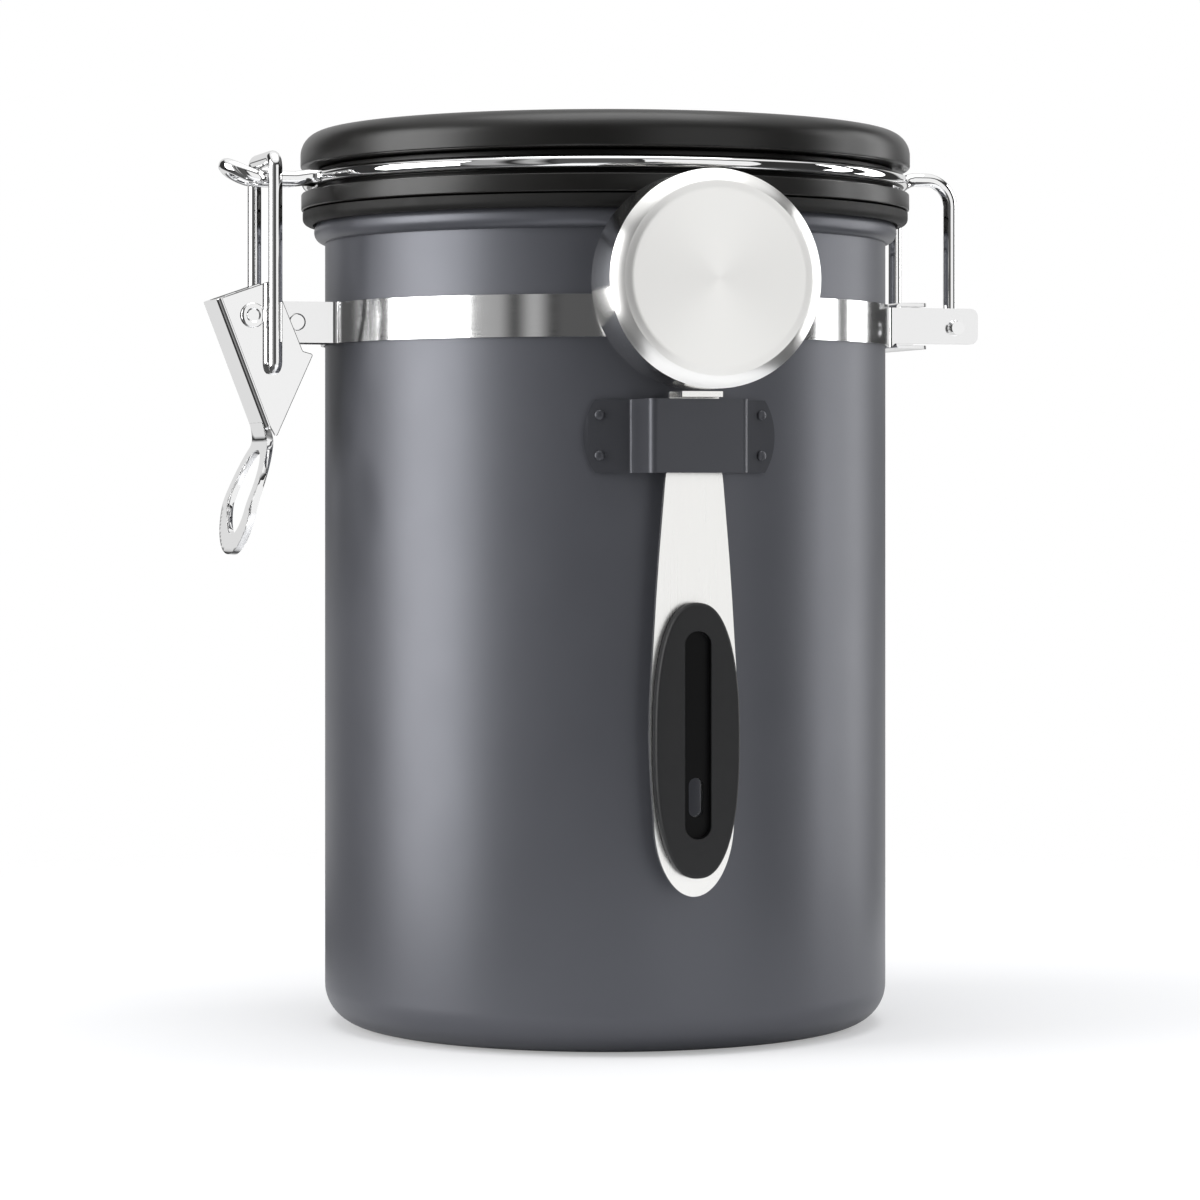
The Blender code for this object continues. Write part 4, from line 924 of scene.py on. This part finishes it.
def handle_and_grip(steel, soft, smooth_and_shaded):
    """The flat handle with its shelf, the grip with its slot, and the eye through both."""
    foot, length, width, handle_t, ease = 0.0322, 0.0985, 0.0090, 0.0012, 0.00015
    heights = (1.0, 0.86, 0.825, 0.75, 0.67, 0.59, 0.51, 0.45, 0.39, 0.355, 0.32, 0.275, 0.23, 0.19)
    widths = (
        0.555, 0.60, 0.65, 0.72, 0.793, 0.855, 0.908, 0.950, 0.983, 0.995, 1.0, 0.987, 0.96, 0.932,
    )
    right = [(w * width, foot + h * length) for w, h in zip(widths, heights)]
    tip, reach = 0.152 * length, 0.90 * width
    right += arc(0, foot + tip, reach, 0, -90, 20, tip / reach)
    outline = right + [(-x, z) for x, z in reversed(right[:-1])]
    handle = piece("handle", plate(outline, SCOOP_R, handle_t))
    half, low, high, out = 0.0041, 0.1296, 0.1307, 0.0070
    shelf = [(-half, low), (half, low), (half, high), (-half, high)]
    carve(handle, piece("shelf", plate(shelf, SCOOP_R, out)), "UNION")
    grip_z, grip_length, grip_w, thick, bend = foot + 0.0037, 0.0537, 0.0086, 0.0026, 0.0007
    back, middle = SCOOP_R + handle_t + GAP, grip_z + grip_length / 2
    turns = arc(0, 0, 1, 0, 360, 104)[:-1]
    oval = [(full(c) * grip_w, middle + full(s) * grip_length / 2) for c, s in turns]
    shape = prism([Vector((x, -back, z)) for x, z in oval], (0, -thick, 0))
    front = [edge for edge in shape.edges if all(v.co.y < -back - thick / 2 for v in edge.verts)]
    bmesh.ops.bevel(
        shape, geom=front, offset=bend, segments=6, profile=0.5, affect="EDGES", material=-1,
    )
    bmesh.ops.transform(shape, matrix=SCOOP_PLACE, verts=shape.verts)
    grip = piece("grip", shape)
    slot_half, slot_z, slot_length, slot_depth = 0.00265, grip_z + 0.0077, 0.0405, 0.0018
    eye_half, eye_z, eye_length = 0.0014, slot_z + 0.0042, 0.0076
    face, past = back + thick, 0.0020
    recess = plate(slot_outline(slot_half, slot_z, slot_length), face - slot_depth, slot_depth + past)
    carve(grip, piece("grip_recess", recess))
    for thing in (grip, handle):
        hole = slot_outline(eye_half, eye_z, eye_length)
        eye = plate(hole, SCOOP_R - past, face - SCOOP_R + 2 * past)
        carve(thing, piece("eye", eye))
    soften(handle, ease)
    soften(grip, ease)
    dress(handle, [steel], "scoop", "scoop_handle")
    dress(grip, [soft, smooth_and_shaded], "scoop", "scoop_grip")
    # Faces inside the slot take the smoother rubber, painted darker as painted shade.
    upright = SCOOP_PLACE.inverted()
    for side in grip.data.polygons:
        spot = upright @ side.center
        within = abs(spot.x) < slot_half + ease and slot_z - GAP < spot.z < slot_z + slot_length + GAP
        side.material_index = int(within and -spot.y < face - GAP / 2)


# Studio

def around(turn, height):
    """A metre from the can's axis, the turn in degrees from the camera's side, rightward positive."""
    angle = math.atan2(-LOOK.y, -LOOK.x) + math.radians(turn)
    return Vector((math.cos(angle), math.sin(angle), height))


def lamp(name, spot, width, height, power):
    """A soft box that looks at the can."""
    light = bpy.data.lights.new(name, "AREA")
    light.shape, light.size, light.size_y, light.energy = "RECTANGLE", width, height, power
    thing, can_middle = placed(name, light), Vector((0, 0, 0.10))
    thing.location = spot
    thing.rotation_euler = (can_middle - spot).to_track_quat("-Z", "Y").to_euler()


def lamps():
    """Soft boxes round the can and one over it."""
    # A box's turn and its height, its width, its own height and its power
    boxes = {
        "left_box": (-73.5, 0.24, 0.70, 1.0, 11.8),
        "front_box": (36, 0.12, 0.80, 1.2, 2.7),
        "right_strip": (97, 0.22, 0.20, 1.0, 2.8),
        "far_right_strip": (119, 0.22, 0.27, 1.0, 2.9),
    }
    for name, (turn, height, wide, tall, power) in boxes.items():
        lamp(name, around(turn, height), wide, tall, power)
    lamp("top_box", Vector((0, -0.10, 1.1)), 0.9, 0.7, 6.0)


def room():
    """The surroundings: white behind the can, and for the metal plain panels and a pale ceiling."""
    dim, ceiling, ceiling_start, ceiling_end = 0.035, 0.95, 0.60, 0.72
    fill, fill_strength, soft_edge = (0.93, 0.95, 1.0, 1), 0.52, math.radians(6)
    # A panel's turn from the camera and its width in degrees, its brightness, its start above eye level
    panels = {
        "grey card": (-47, 16, 0.36, 0),
        "narrow card": (-28, 9, 0.42, 0),
        "camera side": (-4, 32, 0.09, 0),
        "backdrop": (-176, 74, 0.75, 0.06),
    }
    world = bpy.data.worlds.new("studio")
    bpy.context.scene.world = world
    world.use_nodes = True
    tree = world.node_tree
    tree.nodes.clear()
    place = link(tree, "ShaderNodeTexCoord").outputs["Generated"]
    back = {"Vector": place, "Angle": -math.atan2(-LOOK.y, -LOOK.x)}
    turned = link(tree, "ShaderNodeVectorRotate", back, rotation_type="Z_AXIS").outputs["Vector"]
    split = link(tree, "ShaderNodeSeparateXYZ", {"Vector": turned}).outputs
    turn = worked(tree, "ARCTAN2", split["Y"], split["X"])
    up = worked(tree, "ABSOLUTE", split["Z"])
    level = dim
    for centre, width, brightness, low in panels.values():
        away = worked(tree, "SUBTRACT", turn, math.radians(centre))
        off = worked(tree, "ABSOLUTE", worked(tree, "WRAP", away, math.pi, -math.pi))
        outer = math.radians(width) / 2 + soft_edge / 2
        sides = ramp(tree, off, outer, outer - soft_edge, 0, brightness)
        foot = ramp(tree, up, low - soft_edge / 2, low)
        level = worked(tree, "MAXIMUM", level, worked(tree, "MULTIPLY", sides, foot))
    high = ramp(tree, split["Z"], ceiling_start, ceiling_end)
    mirrored = blend(tree, high, level, ceiling)
    path = link(tree, "ShaderNodeLightPath").outputs
    soft, shine, white = [
        link(tree, "ShaderNodeBackground", {"Color": colour, "Strength": strength}).outputs[0]
        for colour, strength in ((fill, fill_strength), (mirrored, 1), ((1, 1, 1, 1), 1))
    ]
    lit = either(tree, path["Is Glossy Ray"], soft, shine)
    shown = either(tree, path["Is Camera Ray"], lit, white)
    link(tree, "ShaderNodeOutputWorld", {"Surface": shown})


def floor():
    """A pale floor that keeps the shadow and fades into the white."""
    radius, below, fade_start, fade_end = 0.75, 0.0002, 0.16, 0.42
    glow_seen, tone_seen, tone_bounced = 0.33, 0.62, 0.50
    bright, dark = 0.90, 0.08
    foot_near, foot_far = 0.085, 0.15
    card_middle, card_near, card_far = 0.050, 0.112, 0.130
    shape = bmesh.new()
    bmesh.ops.create_circle(shape, cap_ends=True, segments=96, radius=radius)
    mesh = bpy.data.meshes.new("floor")
    shape.to_mesh(mesh)
    shape.free()
    thing = placed("floor", mesh)
    thing.location.z = -below
    material = bpy.data.materials.new("pale_floor")
    material.use_nodes = True
    tree = material.node_tree
    tree.nodes.clear()
    place = link(tree, "ShaderNodeTexCoord").outputs["Object"]
    far = link(tree, "ShaderNodeVectorMath", {0: place}, operation="LENGTH").outputs["Value"]
    fade = ramp(tree, far, fade_start, fade_end, interpolation_type="SMOOTHSTEP")
    path = link(tree, "ShaderNodeLightPath").outputs
    seen = path["Is Camera Ray"]
    # The can's foot and all but the latch side mirror a bright floor, and the latch side a dark one
    rightward = {0: place, 1: (LOOK.y, -LOOK.x, 0)}
    across = link(tree, "ShaderNodeVectorMath", rightward, operation="DOT_PRODUCT").outputs["Value"]
    aside = worked(tree, "ABSOLUTE", worked(tree, "SUBTRACT", across, card_middle))
    at_foot = ramp(tree, far, foot_near, foot_far, bright, dark)
    at_card = ramp(tree, aside, card_near, card_far, bright, dark)
    mirrored = worked(tree, "MAXIMUM", at_foot, at_card)
    bounced = blend(tree, path["Is Glossy Ray"], tone_bounced, mirrored)
    shade = blend(tree, seen, bounced, tone_seen)
    pale = link(tree, "ShaderNodeBsdfDiffuse", {"Color": shade}).outputs[0]
    lift = worked(tree, "MULTIPLY", seen, glow_seen)
    glow = link(tree, "ShaderNodeEmission", {"Color": (1, 1, 1, 1), "Strength": lift}).outputs[0]
    both = link(tree, "ShaderNodeAddShader", {0: pale, 1: glow}).outputs[0]
    clear = link(tree, "ShaderNodeBsdfTransparent").outputs[0]
    link(tree, "ShaderNodeOutputMaterial", {"Surface": either(tree, fade, both, clear)})
    mesh.materials.append(material)


def camera():
    """The photograph's view: level, a long lens and a small shift."""
    eye_height, distance = 0.1118, 0.8556
    data = bpy.data.cameras.new("camera")
    thing = placed("camera", data)
    thing.location = Vector((0, 0, eye_height)) - LOOK * distance
    thing.rotation_euler = LOOK.to_track_quat("-Z", "Y").to_euler()
    data.sensor_fit, data.sensor_width, data.lens = "HORIZONTAL", 36, 121.6
    data.shift_x, data.shift_y = -0.00433, -0.09275
    bpy.context.scene.camera = thing


def main():
    paint, plastic, bright = slate_paint("satin_slate_coat"), lid_plastic(), chrome()
    # The holder and its rivets take a darker copy of the can's coat: painted shade.
    shaded_holder_paint = slate_paint("holder_slate_coat_painted_shade", 0.62)
    strip, bare, ink = band_steel(), inner_steel(), pale_print()
    seal = rubber("seal_rubber", (0.008, 0.0077, 0.0072), 0.50, 0.64, 2600, 0.25)
    soft = rubber("soft_grip", (0.011, 0.011, 0.0115), 0.42, 0.54, 3200, 0.35)
    # The slot's rubber is smoother than the grip and painted darker: painted shade in the recess.
    smooth_and_shaded = rubber("smooth_recess_painted_shade", (0.004, 0.004, 0.0042), 0.30, 0.38, 3200, 0.1)
    can(paint, bare)
    gasket(seal)
    lid_pieces(plastic)
    dial("days", 0.0383, 0.0520, False, "day_dial", "day_dial_body", plastic)
    dial("months", 0.0222, 0.0380, True, "month_dial", "month_dial_body", plastic)
    figures("day_figures", 31, 0.0491, 0.0028, "day_dial_body", ink)
    figures("month_figures", 12, 0.0355, 0.0040, "month_dial_body", ink)
    pointer(ink)
    vent(plastic)
    band("band_half_front", 1, "band_front", strip)
    band("band_half_rear", -1, "band_rear", strip)
    hinge_channel(strip)
    pins(bright)
    wire("bail", bail_route(), bright, "lid", "bail_wire")
    wire("loop", loop_route(), bright, "loop", "pull_loop")
    # The lever's cheek edges take a finish painted dark: a painted dark reflection.
    lever(bright, cut_edge())
    holder(shaded_holder_paint)
    rivets(shaded_holder_paint)
    bowl(turned_steel("turned_face", 0.27, 0.33, 0.6), turned_steel("turned_side", 0.12, 0.18))
    handle_and_grip(brushed_steel(), soft, smooth_and_shaded)
    kept = {
        "valve_seat": plastic, "valve_retainer": plastic, "filter_cage": plastic,
        "valve_flap": silicone(), "filter_pad": felt(),
    }
    for node, material in kept.items():
        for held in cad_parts[node].material_slots:
            held.material = material
    room()
    lamps()
    floor()
    camera()
    bpy.context.scene.view_settings.view_transform = "Standard"


main()
